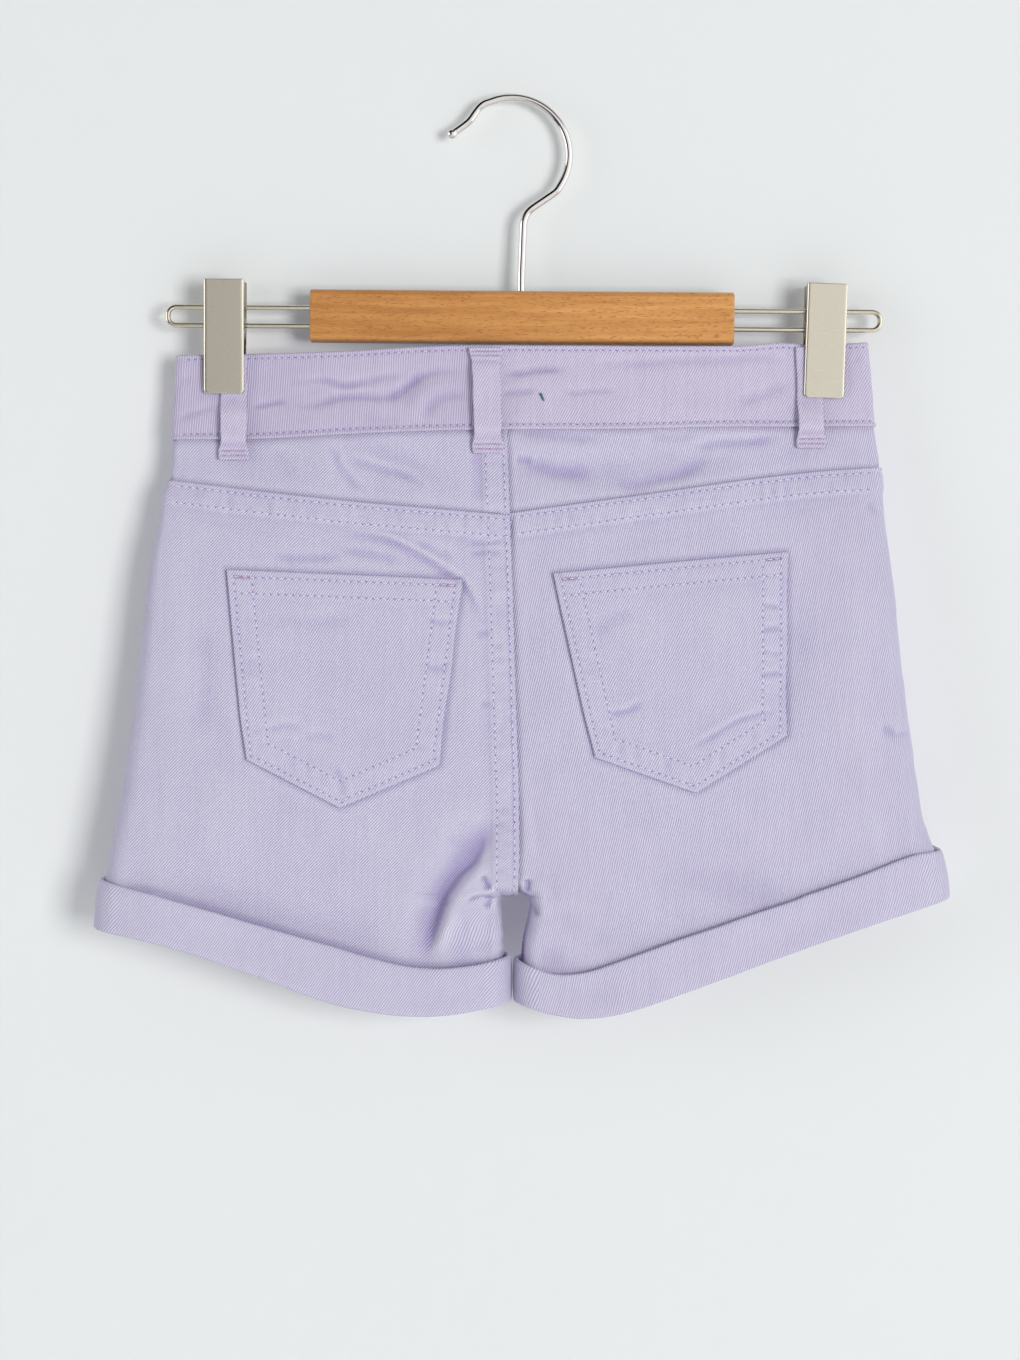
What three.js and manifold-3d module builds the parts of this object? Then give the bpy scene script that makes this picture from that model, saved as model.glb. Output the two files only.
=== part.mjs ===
// Gabardine shorts hung by the waistband from a clip hanger, as closed solids.
// Millimetres, +Z up. The origin is the inside of the hook's crown, where the hanger hangs on its rod.
// The seat of the shorts faces -Y and their front faces +Y, so +X is the wearer's right.
// Heights in the tables are drops below the origin, so z is minus the drop.
import * as THREE from "three";
import { mergeVertices } from "three/addons/utils/BufferGeometryUtils.js";
import Module from "manifold-3d";

const wasm = await Module();
wasm.setup();

const { clamp, degToRad, lerp, smoothstep } = THREE.MathUtils;

// ---------------------------------------------------------------------------------------- sizes
const SEAM_GAP = 0.3; // between two pieces that meet at a seam
const CLOTH = 1.2; // wall of the body panels
const BAND = { wall: 2.2, proud: 0.8 }; // doubled waistband, and how far it stands off the panels
const POCKET = { wall: 1.2, gap: 0.45 };
const CUFF = { wall: 2.4, gap: 0.45, lip: 1.3 };
const LOOP = { width: 11.6, wall: 1.4, endWall: 2.2 };
const CROTCH_DROP = 316.4;
const LAYER_MEET = 0.15; // half the gap where the back layer meets the front layer
const CLIP_HALF_DEPTH = 2.6; // half depth of the two flat layers in the clips
const PINCH = { across: 38, from: 119, to: 185 }; // how far the clips' pinch spreads: across, and by drop
const CENTRE_DIP = { depth: 1.6, width: 16, from: 165, to: 230 }; // hollow along the seat seam

const HOOK = { wire: 3.2, bendRadius: 23, ballRadius: 2.05 };
const BAR = { length: 169.2, height: 20.6, depth: 12, edge: 1.8, bevel: 0.7 };
const WIRE = { diameter: 2.1, upper: -7.0, lower: -14.3, seat: 12, endRadius: 2.9 };
const WIRE_REACH = { left: -142.2, right: 144.8 };
const CLIP = { width: 16.2, height: 45.6, top: 3.6, sheet: 0.9, flange: 3.1, corner: 1.6 };
const HANGER = { x: 3.8, drop: 76.2, tilt: 0.43, left: -84.1 }; // the tilt is in degrees
const BUTTON = { radius: 7.5, height: 3.2, x: 5, drop: 119 };

// ---------------------------------------------------------------------------------------- tables
const rows = (names, ...values) =>
  values.map((line) => Object.fromEntries(names.map((name, i) => [name, line[i]])));

// The side folds of the body, from the waist to the hem.
const SIDES = rows(["drop", "left", "right"],
  [95, -133.3, 141.8], [120, -134.4, 143.8], [148, -136.2, 147.2], [164, -139.8, 148.6],
  [183, -144.0, 151.4], [231, -149.4, 156.6], [279, -156.2, 163.0], [292, -158.8, 166.2],
  [301, -160.8, 169.6], [318, -162.9, 172.4], [345, -165.6, 174.2]);

// The gap between the legs, over the crotch from the left hem to the right hem.
const ARCH = rows(["x", "drop"],
  [-2.8, 375], [-2.8, 343], [-3.1, 335], [-4.3, 328], [-5.4, 321], [-5.4, 318], [-4.2, 316.7],
  [2.4, CROTCH_DROP], [5.2, 317.4], [7.0, 318.8], [7.5, 321], [5.9, 328.5], [4.4, 335],
  [3.6, 343], [3.6, 375]);

const CENTRE_BACK = rows(["drop", "x"],
  [95, -3.2], [141, -1.8], [199, 0.2], [239, 1.4], [279, 2.6], [295, 2.8], [CROTCH_DROP, 2.4]);
const CENTRE_FRONT = rows(["drop", "x"], [95, 3.4], [200, 3.2], [CROTCH_DROP, 2.4]);

// Edges that run across the garment.
const BAND_TOP = rows(["x", "drop"],
  [-136, 101.7], [-70, 100.5], [-36, 98.6], [-16, 98.1], [90, 98.3], [108, 96.8], [122, 97.8],
  [146, 96.1]);
const BAND_SEAM = rows(["x", "drop"],
  [-137, 135.4], [-100, 135.2], [-50, 132.9], [-10, 131.8], [40, 131.6], [90, 130.5], [148, 130.0]);
const YOKE_SEAM = {
  left: rows(["x", "drop"], [-139, 151.4], [-72, 159.5], [-1, 165.9]),
  right: rows(["x", "drop"], [-1, 165.2], [55, 157.3], [115, 149.0], [149, 146.4]),
};
// Hem of the back, by the share of the way from the side fold to the inner leg.
const HEM = {
  left: rows(["share", "drop"],
    [0, 330.6], [0.19, 337.7], [0.41, 349.6], [0.56, 358.7], [0.7, 363.6], [0.82, 364.7],
    [0.92, 362.8], [1, 359.8]),
  right: rows(["share", "drop"],
    [0, 318.6], [0.14, 326.0], [0.38, 340.3], [0.64, 356.7], [0.76, 363.4], [0.85, 365.6],
    [0.93, 363.8], [1, 360.0]),
};
// How tall the turned-up cuff is, by the same share.
const CUFF_HEIGHT = {
  left: rows(["share", "tall"],
    [0, 19.8], [0.12, 19.3], [0.26, 19.4], [0.4, 20.4], [0.56, 22.8], [0.66, 22.0], [0.78, 19.8],
    [0.92, 18.5], [1, 18.6]),
  right: rows(["share", "tall"],
    [0, 18.8], [0.06, 21.2], [0.2, 20.6], [0.37, 21.0], [0.53, 21.9], [0.65, 22.4], [0.76, 21.4],
    [0.86, 18.1], [0.93, 16.2], [1, 17.4]),
};
// The front hem rides this much higher than the back one in the middle of each leg.
const FRONT_HEM_LIFT = { left: 7, right: 11 };
const FRONT_WAIST_DIP = 6; // the front waistband hangs lower at its middle

// Half depth of the hollow body: the back and front layers, where nothing pinches them.
const DEPTHS = rows(["drop", "back", "front", "sideRound"],
  [95, 6.2, 5.8, 3.4], [131, 7.6, 6.6, 4.2], [165, 10.6, 8.2, 8], [200, 13.2, 9.4, 13],
  [250, 14.8, 10, 17], [300, 14.6, 10, 18], [330, 13.4, 9.6, 18], [370, 12.6, 9.2, 18]);
// How wide the inner leg rounds away from the gap.
const INNER_ROUND = rows(["drop", "left", "right"],
  [280, 12, 12], [CROTCH_DROP, 12, 12], [330, 16, 14], [375, 20, 18]);

// The folds of the seat: a bent line from a by b to c, its half width, and its height outwards.
const FOLD_NAMES = ["ax", "ad", "bx", "bd", "cx", "cd", "width", "height"];
const BACK_FOLDS = rows(FOLD_NAMES,
  [-5, 285, -20, 305, -34, 334, 8, -3.4], // valley from the crotch across the left leg
  [-9, 306, -24, 321, -29, 347, 5, 1.8], // ridge beside it
  [-64, 172, -36, 176, -13, 208, 6, -1.6], // crease past the corner of the left pocket
  [-52, 168, -22, 178, -8, 198, 6, 1.2],
  [116, 180, 118, 215, 102, 262, 15, -2.4], // soft valley beside the right pocket
  [2, 148, 36, 151, 72, 146, 7, -1.5], // under the waistband, right
  [-64, 136, -46, 143, -28, 152, 6, -1.2], // under the waistband, left
  [-105, 121, -68, 118, -17, 106, 5, -1.1], // waves along the waistband
  [-4, 108, 12, 106, 36, 105, 5, -0.9],
  [-92, 210, -100, 250, -118, 300, 18, 1.5], // fullness down the left leg
  [60, 290, 80, 310, 110, 322, 14, -1.4]);
const FRONT_FOLDS = rows(FOLD_NAMES,
  [6, 210, -24, 232, -60, 240, 9, -1.6], // whiskers from the foot of the fly
  [6, 214, 30, 236, 66, 246, 9, -1.5],
  [4, 290, 24, 306, 42, 332, 8, -2.2],
  [-2, 290, -22, 308, -40, 336, 8, -2.0],
  [-100, 170, -104, 220, -112, 280, 16, 1.4],
  [104, 168, 108, 222, 116, 276, 16, 1.3]);

// Where the clips hold the waistband flat.
const CLIPS = {
  left: { x: -114.4, lean: -0.4 },
  right: { x: 125.4, lean: 1.6 }, // both lean this many degrees against the hanger
};

// Back pockets: the corners as x and drop, from the top left round by the tip.
const CORNERS = ["tlx", "tld", "trx", "trd", "brx", "brd", "tipx", "tipd", "blx", "bld"];
const POCKETS = {
  left: rows(CORNERS, [-112.8, 187.6, -19.6, 191.3, -28.9, 265.0, -68.0, 282.0, -105.2, 262.6])[0],
  right: rows(CORNERS, [16.6, 189.1, 109.1, 180.2, 108.7, 253.1, 72.8, 276.1, 32.6, 261.8])[0],
};

// Belt loops: the middle, lean, top and foot, and where the clip stops pressing them flat.
const LOOPS = rows(["name", "layer", "x", "lean", "top", "foot", "flatTo"],
  ["belt_loop_back_left", "back", -110.8, 0.2, 101.8, 143.8, 119],
  ["belt_loop_back_centre", "back", -10.6, 1.4, 99.2, 141.4, 101],
  ["belt_loop_back_right", "back", 118.4, 1.6, 98.6, 139.0, 119],
  ["belt_loop_front_left", "front", -66.0, 0, 105.4, 147.4, 107],
  ["belt_loop_front_right", "front", 72.0, 0, 105.0, 147.0, 107]);

// ---------------------------------------------------------------------------------------- curves
// A smooth curve through the rows of a table, as a function from one column to another.
function curve(table, from, to) {
  const at = table.map((row) => row[from]);
  const value = table.map((row) => row[to]);
  const last = at.length - 1;
  const slope = at.map((_, i) => {
    const a = Math.max(i - 1, 0);
    const b = Math.min(i + 1, last);
    return (value[b] - value[a]) / (at[b] - at[a]);
  });
  return (place) => {
    let i = 0;
    while (i < last - 1 && place > at[i + 1]) i += 1;
    const h = at[i + 1] - at[i];
    const t = clamp((place - at[i]) / h, 0, 1);
    const u = 1 - t;
    return (
      value[i] * u * u * (1 + 2 * t) +
      value[i + 1] * t * t * (3 - 2 * t) +
      h * t * u * (slope[i] * u - slope[i + 1] * t)
    );
  };
}

const sideFold = { left: curve(SIDES, "drop", "left"), right: curve(SIDES, "drop", "right") };
const centreBack = curve(CENTRE_BACK, "drop", "x");
const centreFront = curve(CENTRE_FRONT, "drop", "x");
const bandTopBack = curve(BAND_TOP, "x", "drop");
const bandSeamBack = curve(BAND_SEAM, "x", "drop");
const yokeSeam = {
  left: curve(YOKE_SEAM.left, "x", "drop"),
  right: curve(YOKE_SEAM.right, "x", "drop"),
};
const hemBack = {
  left: curve(HEM.left, "share", "drop"),
  right: curve(HEM.right, "share", "drop"),
};
const cuffHeight = {
  left: curve(CUFF_HEIGHT.left, "share", "tall"),
  right: curve(CUFF_HEIGHT.right, "share", "tall"),
};
const depthOf = { back: curve(DEPTHS, "drop", "back"), front: curve(DEPTHS, "drop", "front") };
const sideRound = curve(DEPTHS, "drop", "sideRound");
const crown = ARCH.findIndex((p) => p.drop === CROTCH_DROP);
const INNER_LEG = { left: ARCH.slice(0, crown + 1).reverse(), right: ARCH.slice(crown) };
const innerRound = {
  left: curve(INNER_ROUND, "drop", "left"),
  right: curve(INNER_ROUND, "drop", "right"),
};

const halfWaist = (SIDES[0].right - SIDES[0].left) / 2;
const waistMiddle = (SIDES[0].right + SIDES[0].left) / 2;
const waistDip = (x) => {
  const share = clamp(1 - Math.abs(x - waistMiddle) / halfWaist, 0, 1);
  return FRONT_WAIST_DIP * smoothstep(share, 0, 1);
};
const bandTop = { back: bandTopBack, front: (x) => bandTopBack(x) + 0.4 + waistDip(x) };
const bandSeam = { back: bandSeamBack, front: (x) => bandSeamBack(x) + waistDip(x) };
const frontHemShape = (share) => Math.sqrt(Math.sin(Math.PI * clamp(share, 0, 1)));
const hem = {
  back: hemBack,
  front: {
    left: (share) => hemBack.left(share) - FRONT_HEM_LIFT.left * frontHemShape(share),
    right: (share) => hemBack.right(share) - FRONT_HEM_LIFT.right * frontHemShape(share),
  },
};

// ---------------------------------------------------------------------------------------- surface
const quarterRound = (share) => Math.sqrt(1 - (1 - clamp(share, 0, 1)) ** 2);

function distanceToSegment(x, d, a, b) {
  const along = ((x - a.x) * (b.x - a.x) + (d - a.drop) * (b.drop - a.drop)) /
    ((b.x - a.x) ** 2 + (b.drop - a.drop) ** 2);
  const t = clamp(along, 0, 1);
  return Math.hypot(x - lerp(a.x, b.x, t), d - lerp(a.drop, b.drop, t));
}

// Distance from the gap between the legs, 0 inside it.
function distanceToArch(x, d) {
  if (d > CROTCH_DROP && x > innerLeg("left", d) && x < innerLeg("right", d)) return 0;
  return Math.min(...ARCH.slice(1).map((end, i) => distanceToSegment(x, d, ARCH[i], end)));
}

// The inner leg's x at a drop below the crotch.
function innerLeg(side, d) {
  const run = INNER_LEG[side];
  let i = 1;
  while (i < run.length - 1 && run[i].drop < d) i += 1;
  const t = clamp((d - run[i - 1].drop) / (run[i].drop - run[i - 1].drop), 0, 1);
  return lerp(run[i - 1].x, run[i].x, t);
}

// A fold's height at a place: a soft bump or trough along its bent line, fading to a third at its ends.
function foldHeight(fold, x, d) {
  const steps = 10;
  const atEnds = 1 / 3;
  let best = Infinity;
  let bestAt = 0;
  for (let i = 0; i <= steps; i += 1) {
    const t = i / steps;
    const px = (1 - t) ** 2 * fold.ax + 2 * t * (1 - t) * fold.bx + t * t * fold.cx;
    const pd = (1 - t) ** 2 * fold.ad + 2 * t * (1 - t) * fold.bd + t * t * fold.cd;
    const away = Math.hypot(x - px, d - pd);
    if (away < best) {
      best = away;
      bestAt = t;
    }
  }
  const along = lerp(atEnds, 1, Math.sin(Math.PI * bestAt));
  return fold.height * along * Math.exp(-((best / fold.width) ** 2));
}

// How firmly the clips press the layers together: 1 in the clips and outside them, 0 far from them.
function pinch(x, d) {
  const leftEdge = CLIPS.left.x + CLIP.width / 2;
  const rightEdge = CLIPS.right.x - CLIP.width / 2;
  const open = smoothstep(x, leftEdge + 1, leftEdge + PINCH.across) *
    (1 - smoothstep(x, rightEdge - PINCH.across, rightEdge - 1));
  return (1 - open) * (1 - smoothstep(d, PINCH.from, PINCH.to));
}

// Half depth of a layer before the sides and the inner legs round it off.
function fullDepth(layer, x, d) {
  const folds = layer === "back" ? BACK_FOLDS : FRONT_FOLDS;
  let depth = depthOf[layer](d);
  if (layer === "back") {
    const across = (x - centreBack(d)) / CENTRE_DIP.width;
    depth -= CENTRE_DIP.depth * Math.exp(-(across ** 2)) * smoothstep(d, CENTRE_DIP.from, CENTRE_DIP.to);
  }
  for (const fold of folds) depth += foldHeight(fold, x, d);
  return Math.max(lerp(depth, CLIP_HALF_DEPTH, pinch(x, d)), CLIP_HALF_DEPTH);
}

// Half depth of a layer's outer surface at x and drop.
function halfDepth(layer, x, d) {
  const toSide = Math.min(x - sideFold.left(d), sideFold.right(d) - x);
  const side = x < centreBack(Math.min(d, CROTCH_DROP)) ? "left" : "right";
  const pressed = lerp(sideRound(d), CLIP_HALF_DEPTH, pinch(x, d));
  const rounding = quarterRound(toSide / pressed) *
    quarterRound(distanceToArch(x, d) / innerRound[side](d));
  return LAYER_MEET + (fullDepth(layer, x, d) - LAYER_MEET) * rounding;
}

const outwards = { back: -1, front: 1 };
const surfacePoint = (layer, x, d) => new THREE.Vector3(x, outwards[layer] * halfDepth(layer, x, d), -d);

// The outward normal, from small steps. On a side fold or inner leg it lies flat in the XZ plane, and
// away from the crotch it stays level, so that pieces keep their gap along the seams across the body.
function surfaceNormal(layer, x, d, onFold) {
  const step = 0.1;
  const dx = (halfDepth(layer, x + step, d) - halfDepth(layer, x - step, d)) / (2 * step);
  const dz = (halfDepth(layer, x, d - step) - halfDepth(layer, x, d + step)) / (2 * step);
  const nearCrotch = smoothstep(d, 265, 295) * (1 - smoothstep(d, 325, 345));
  return new THREE.Vector3(-dx, onFold ? 0 : outwards[layer], -dz * nearCrotch).normalize();
}

const offsetPoint = (layer, x, d, onFold, out) =>
  surfacePoint(layer, x, d).addScaledVector(surfaceNormal(layer, x, d, onFold), out);

// ---------------------------------------------------------------------------------------- solids
function closedGeometry(points, faces) {
  const flat = new Float32Array(points.flatMap((p) => [p.x, p.y, p.z]));
  let volume = 0;
  for (const [a, b, c] of faces) {
    volume += points[a].dot(points[b].clone().cross(points[c]));
  }
  const index = faces.flatMap(([a, b, c]) => (volume < 0 ? [a, c, b] : [a, b, c]));
  const geometry = new THREE.BufferGeometry();
  geometry.setAttribute("position", new THREE.BufferAttribute(flat, 3));
  geometry.setIndex(index);
  return geometry;
}

// A wall between two grids of points of the same size.
function wall(outer, inner) {
  const down = outer.length;
  const across = outer[0].length;
  const points = [...outer.flat(), ...inner.flat()];
  const out = (i, j) => i * across + j;
  const inn = (i, j) => down * across + i * across + j;
  const faces = [];
  const quad = (a, b, c, d) => faces.push([a, b, c], [a, c, d]);
  for (let i = 0; i < down - 1; i += 1) {
    for (let j = 0; j < across - 1; j += 1) {
      quad(out(i, j), out(i, j + 1), out(i + 1, j + 1), out(i + 1, j));
      quad(inn(i, j), inn(i + 1, j), inn(i + 1, j + 1), inn(i, j + 1));
    }
  }
  for (let i = 0; i < down - 1; i += 1) {
    quad(out(i, 0), out(i + 1, 0), inn(i + 1, 0), inn(i, 0));
    quad(out(i + 1, across - 1), out(i, across - 1), inn(i, across - 1), inn(i + 1, across - 1));
  }
  for (let j = 0; j < across - 1; j += 1) {
    quad(out(0, j + 1), out(0, j), inn(0, j), inn(0, j + 1));
    quad(out(down - 1, j), out(down - 1, j + 1), inn(down - 1, j + 1), inn(down - 1, j));
  }
  return closedGeometry(points, faces);
}

// A closed profile carried through stations. Its last corner sees all the others, so the flat ends fan
// out from there.
function sweep(stations) {
  const n = stations[0].length;
  const faces = [];
  for (let i = 0; i < stations.length - 1; i += 1) {
    for (let j = 0; j < n; j += 1) {
      const a = i * n + j;
      const b = i * n + ((j + 1) % n);
      faces.push([a, b, b + n], [a, b + n, a + n]);
    }
  }
  const end = (stations.length - 1) * n;
  for (let j = 0; j < n - 2; j += 1) {
    faces.push([n - 1, j + 1, j], [end + n - 1, end + j, end + j + 1]);
  }
  return closedGeometry(stations.flat(), faces);
}

function toManifold(geometry) {
  const bare = geometry.clone();
  bare.deleteAttribute("normal");
  bare.deleteAttribute("uv");
  const merged = mergeVertices(bare, 1e-4);
  return new wasm.Manifold(new wasm.Mesh({
    numProp: 3,
    vertProperties: merged.attributes.position.array,
    triVerts: new Uint32Array(merged.index.array),
  }));
}

function fromManifold(solid) {
  const mesh = solid.getMesh();
  const geometry = new THREE.BufferGeometry();
  geometry.setAttribute("position", new THREE.BufferAttribute(mesh.vertProperties, 3));
  geometry.setIndex(new THREE.BufferAttribute(mesh.triVerts, 1));
  return geometry;
}

const joined = (...parts) => fromManifold(parts.map(toManifold).reduce((a, b) => a.add(b)));
const cutBy = (body, ...tools) =>
  fromManifold(tools.map(toManifold).reduce((a, b) => a.subtract(b), toManifold(body)));

function box(sizeX, sizeY, sizeZ, x, y, z) {
  return new THREE.BoxGeometry(sizeX, sizeY, sizeZ).translate(x, y, z);
}

// A round bar along X.
function rod(radius, length, x, y, z, sides = 16) {
  return new THREE.CylinderGeometry(radius, radius, length, sides).rotateZ(Math.PI / 2).translate(x, y, z);
}

// ---------------------------------------------------------------------------------------- cloth
// Shares across a panel, close together where its edges round away.
function shares(length, outerZone, outerSteps, middleSteps, innerZone, innerSteps) {
  const list = [];
  for (let k = 0; k < outerSteps; k += 1) list.push((outerZone * (k / outerSteps) ** 2.2) / length);
  for (let k = 0; k <= middleSteps; k += 1) {
    list.push(lerp(outerZone / length, 1 - innerZone / length, k / middleSteps));
  }
  for (let k = innerSteps - 1; k >= 0; k -= 1) list.push(1 - (innerZone * (k / innerSteps) ** 2) / length);
  return list;
}

const COLUMNS = { back: shares(150, 18, 5, 8, 14, 4), front: shares(150, 18, 5, 6, 14, 3) };
const BAND_SHARES = shares(138, 3.2, 4, 12, 0.1, 1);

// The place at a share of the way from a side fold to an inner end, on a line that gives drop by x.
function acrossLine(side, innerX, share, line) {
  let x = lerp(sideFold[side](150), innerX(150), share);
  for (let pass = 0; pass < 3; pass += 1) x = lerp(sideFold[side](line(x)), innerX(line(x)), share);
  return { x, d: line(x) };
}

// A panel's own side of the centre seam.
const seamSide = (side, centre) => (d) => centre(d) + ((side === "left" ? -1 : 1) * SEAM_GAP) / 2;

// A point between four edge lines that meet at their ends.
function between(edges, s, t) {
  const top = edges.top(s);
  const bottom = edges.bottom(s);
  const outer = edges.outer(t);
  const inner = edges.inner(t);
  const corner = [edges.outer(0), edges.inner(0), edges.outer(1), edges.inner(1)];
  const mix = (key) =>
    (1 - t) * top[key] + t * bottom[key] + (1 - s) * outer[key] + s * inner[key] -
    ((1 - s) * (1 - t) * corner[0][key] + s * (1 - t) * corner[1][key] +
      (1 - s) * t * corner[2][key] + s * t * corner[3][key]);
  return { x: mix("x"), d: mix("d") };
}

// The edge from the top of the centre seam over the crotch and down the inner leg to the hem.
function innerEdge(side, centre, topDrop, hemDrop, seamRows, totalRows) {
  const run = INNER_LEG[side].filter((p) => p.drop < hemDrop);
  const ends = [...run, { x: innerLeg(side, hemDrop), drop: hemDrop }];
  const lengths = ends.slice(1).map((p, i) => Math.hypot(p.x - ends[i].x, p.drop - ends[i].drop));
  const whole = lengths.reduce((a, b) => a + b, 0);
  return (t) => {
    const row = t * totalRows;
    if (row <= seamRows) {
      const share = 1 - (1 - row / seamRows) ** 1.5;
      const d = lerp(topDrop, CROTCH_DROP - 0.01, share);
      return { x: seamSide(side, centre)(d), d };
    }
    let left = (whole * (row - seamRows)) / (totalRows - seamRows);
    let i = 0;
    while (i < lengths.length - 1 && left > lengths[i]) {
      left -= lengths[i];
      i += 1;
    }
    const share = clamp(left / lengths[i], 0, 1);
    return { x: lerp(ends[i].x, ends[i + 1].x, share), d: lerp(ends[i].drop, ends[i + 1].drop, share) };
  };
}

// A leg panel of one layer, from its upper seam to the hem inside the cuff.
function legPanel(layer, side, upperSeam, seamRows, totalRows) {
  const columns = COLUMNS[layer];
  const centre = layer === "back" ? centreBack : centreFront;
  const half = SEAM_GAP / 2;
  const hemAt = (share) => hem[layer][side](share) - CUFF.lip - half;
  const top = (s) => acrossLine(side, seamSide(side, centre), s, (x) => upperSeam(x) + half);
  const hemInner = hemAt(1);
  const edges = {
    top,
    bottom: (s) => ({ x: lerp(sideFold[side](hemAt(0)), innerLeg(side, hemInner), s), d: hemAt(s) }),
    outer: (t) => {
      const d = lerp(top(0).d, hemAt(0), t);
      return { x: sideFold[side](d), d };
    },
    inner: innerEdge(side, centre, top(1).d, hemInner, seamRows, totalRows),
  };
  const outer = [];
  const inner = [];
  for (let i = 0; i <= totalRows; i += 1) {
    const outerRow = [];
    const innerRow = [];
    columns.forEach((s, j) => {
      const { x, d } = between(edges, s, i / totalRows);
      const onFold = j === 0 || (j === columns.length - 1 && i >= seamRows);
      outerRow.push(surfacePoint(layer, x, d));
      innerRow.push(offsetPoint(layer, x, d, onFold, -CLOTH));
    });
    outer.push(outerRow);
    inner.push(innerRow);
  }
  return wall(outer, inner);
}

// A strip of one layer between two lines that run across it. The runs go from one end to the other,
// each as a side fold, an inner end by drop, and shares of the way from the fold to that end.
function strip(layer, runs, upper, lower, downSteps, proud, thickness, lift = () => 0) {
  const outer = [];
  const inner = [];
  for (let i = 0; i <= downSteps; i += 1) {
    const outerRow = [];
    const innerRow = [];
    for (const { side, innerX, at } of runs) {
      for (const share of at) {
        const line = (x) => lerp(upper(x), lower(x), i / downSteps);
        const { x, d } = acrossLine(side, innerX, share, line);
        const out = proud + lift(x);
        outerRow.push(offsetPoint(layer, x, d, share === 0, out));
        innerRow.push(offsetPoint(layer, x, d, share === 0, out - thickness));
      }
    }
    outer.push(outerRow);
    inner.push(innerRow);
  }
  return wall(outer, inner);
}

function yoke(side) {
  const half = SEAM_GAP / 2;
  const at = COLUMNS.back.filter((share) => share < 0.93 || share === 1);
  const runs = [{ side, innerX: seamSide(side, centreBack), at }];
  return strip("back", runs, (x) => bandSeam.back(x) + half, (x) => yokeSeam[side](x) - half, 4, 0, CLOTH);
}

function waistbandBack() {
  const runs = [
    { side: "left", innerX: centreBack, at: BAND_SHARES },
    { side: "right", innerX: centreBack, at: [...BAND_SHARES].reverse().slice(1) },
  ];
  const seam = (x) => bandSeam.back(x) - SEAM_GAP / 2;
  return strip("back", runs, bandTop.back, seam, 4, BAND.proud, BAND.wall);
}

// The left half of the front waistband laps over the right half and carries the buttonhole.
const LAP = { from: -9, to: 15, riseFrom: -24, clear: BAND.wall + SEAM_GAP };

function waistbandFront(side) {
  const end = side === "left" ? LAP.to : LAP.from;
  const lift = side === "left" ? (x) => LAP.clear * smoothstep(x, LAP.riseFrom, LAP.from - 2) : () => 0;
  const runs = [{ side, innerX: () => end, at: BAND_SHARES }];
  const seam = (x) => bandSeam.front(x) - SEAM_GAP / 2;
  return strip("front", runs, bandTop.front, seam, 3, BAND.proud, BAND.wall, lift);
}

// The fly: the folded edge of the left front, lying over the right front, with a curved foot.
const FLY = { edge: 8, width: 30, foot: 78, wall: 1.2, gap: 0.45 };

function fly() {
  const top = (x) => bandSeam.front(x) + SEAM_GAP;
  const stepsDown = 9;
  const stepsAcross = 5;
  const outer = [];
  const inner = [];
  for (let i = 0; i <= stepsDown; i += 1) {
    const t = i / stepsDown;
    const narrow = FLY.width * (1 - quarterRound(1 - Math.max(0, (t - 0.55) / 0.45)));
    const outerRow = [];
    const innerRow = [];
    for (let j = 0; j <= stepsAcross; j += 1) {
      const farEdge = FLY.edge - FLY.width + Math.min(narrow, FLY.width - 7);
      const x = lerp(farEdge, FLY.edge, j / stepsAcross);
      const d = top(x) + t * FLY.foot;
      outerRow.push(offsetPoint("front", x, d, false, FLY.gap + FLY.wall));
      innerRow.push(offsetPoint("front", x, d, false, FLY.gap));
    }
    outer.push(outerRow);
    inner.push(innerRow);
  }
  return wall(outer, inner);
}

// A patch pocket with a pointed foot, lying on its panel.
function pocket(side) {
  const c = POCKETS[side];
  const across = 8;
  const down = 8;
  const outer = [];
  const inner = [];
  for (let i = 0; i <= down; i += 1) {
    const t = i / down;
    const outerRow = [];
    const innerRow = [];
    for (let j = 0; j <= across; j += 1) {
      const s = j / across;
      const topX = lerp(c.tlx, c.trx, s);
      const topD = lerp(c.tld, c.trd, s);
      const first = s <= 0.5;
      const u = first ? s * 2 : s * 2 - 1;
      const footX = first ? lerp(c.blx, c.tipx, u) : lerp(c.tipx, c.brx, u);
      const footD = first ? lerp(c.bld, c.tipd, u) : lerp(c.tipd, c.brd, u);
      const x = lerp(topX, footX, t);
      const d = lerp(topD, footD, t);
      outerRow.push(offsetPoint("back", x, d, false, POCKET.gap + POCKET.wall));
      innerRow.push(offsetPoint("back", x, d, false, POCKET.gap));
    }
    outer.push(outerRow);
    inner.push(innerRow);
  }
  return wall(outer, inner);
}

// The turned-up cuff of one layer of a leg: a band outside the leg with a lip under its hem.
function cuff(layer, side) {
  const { wall: thick, gap, lip } = CUFF;
  const stations = COLUMNS[layer].map((share) => {
    const onFold = share === 0 || share === 1;
    const base = hem[layer][side](share);
    const height = cuffHeight[side](share);
    const profile = [
      [gap, height / 2], [gap, height], [gap + thick, height], [gap + thick + 0.2, height / 2],
      [gap + thick, 1], [gap + thick - 1, 0], [-CLOTH - 0.2, 0], [-CLOTH - 0.2, lip - SEAM_GAP],
      [gap, lip - SEAM_GAP],
    ];
    return profile.map(([out, up]) => {
      const d = base - up;
      const x = lerp(sideFold[side](d), innerLeg(side, d), share);
      return offsetPoint(layer, x, d, onFold, out);
    });
  });
  return sweep(stations);
}

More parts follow.
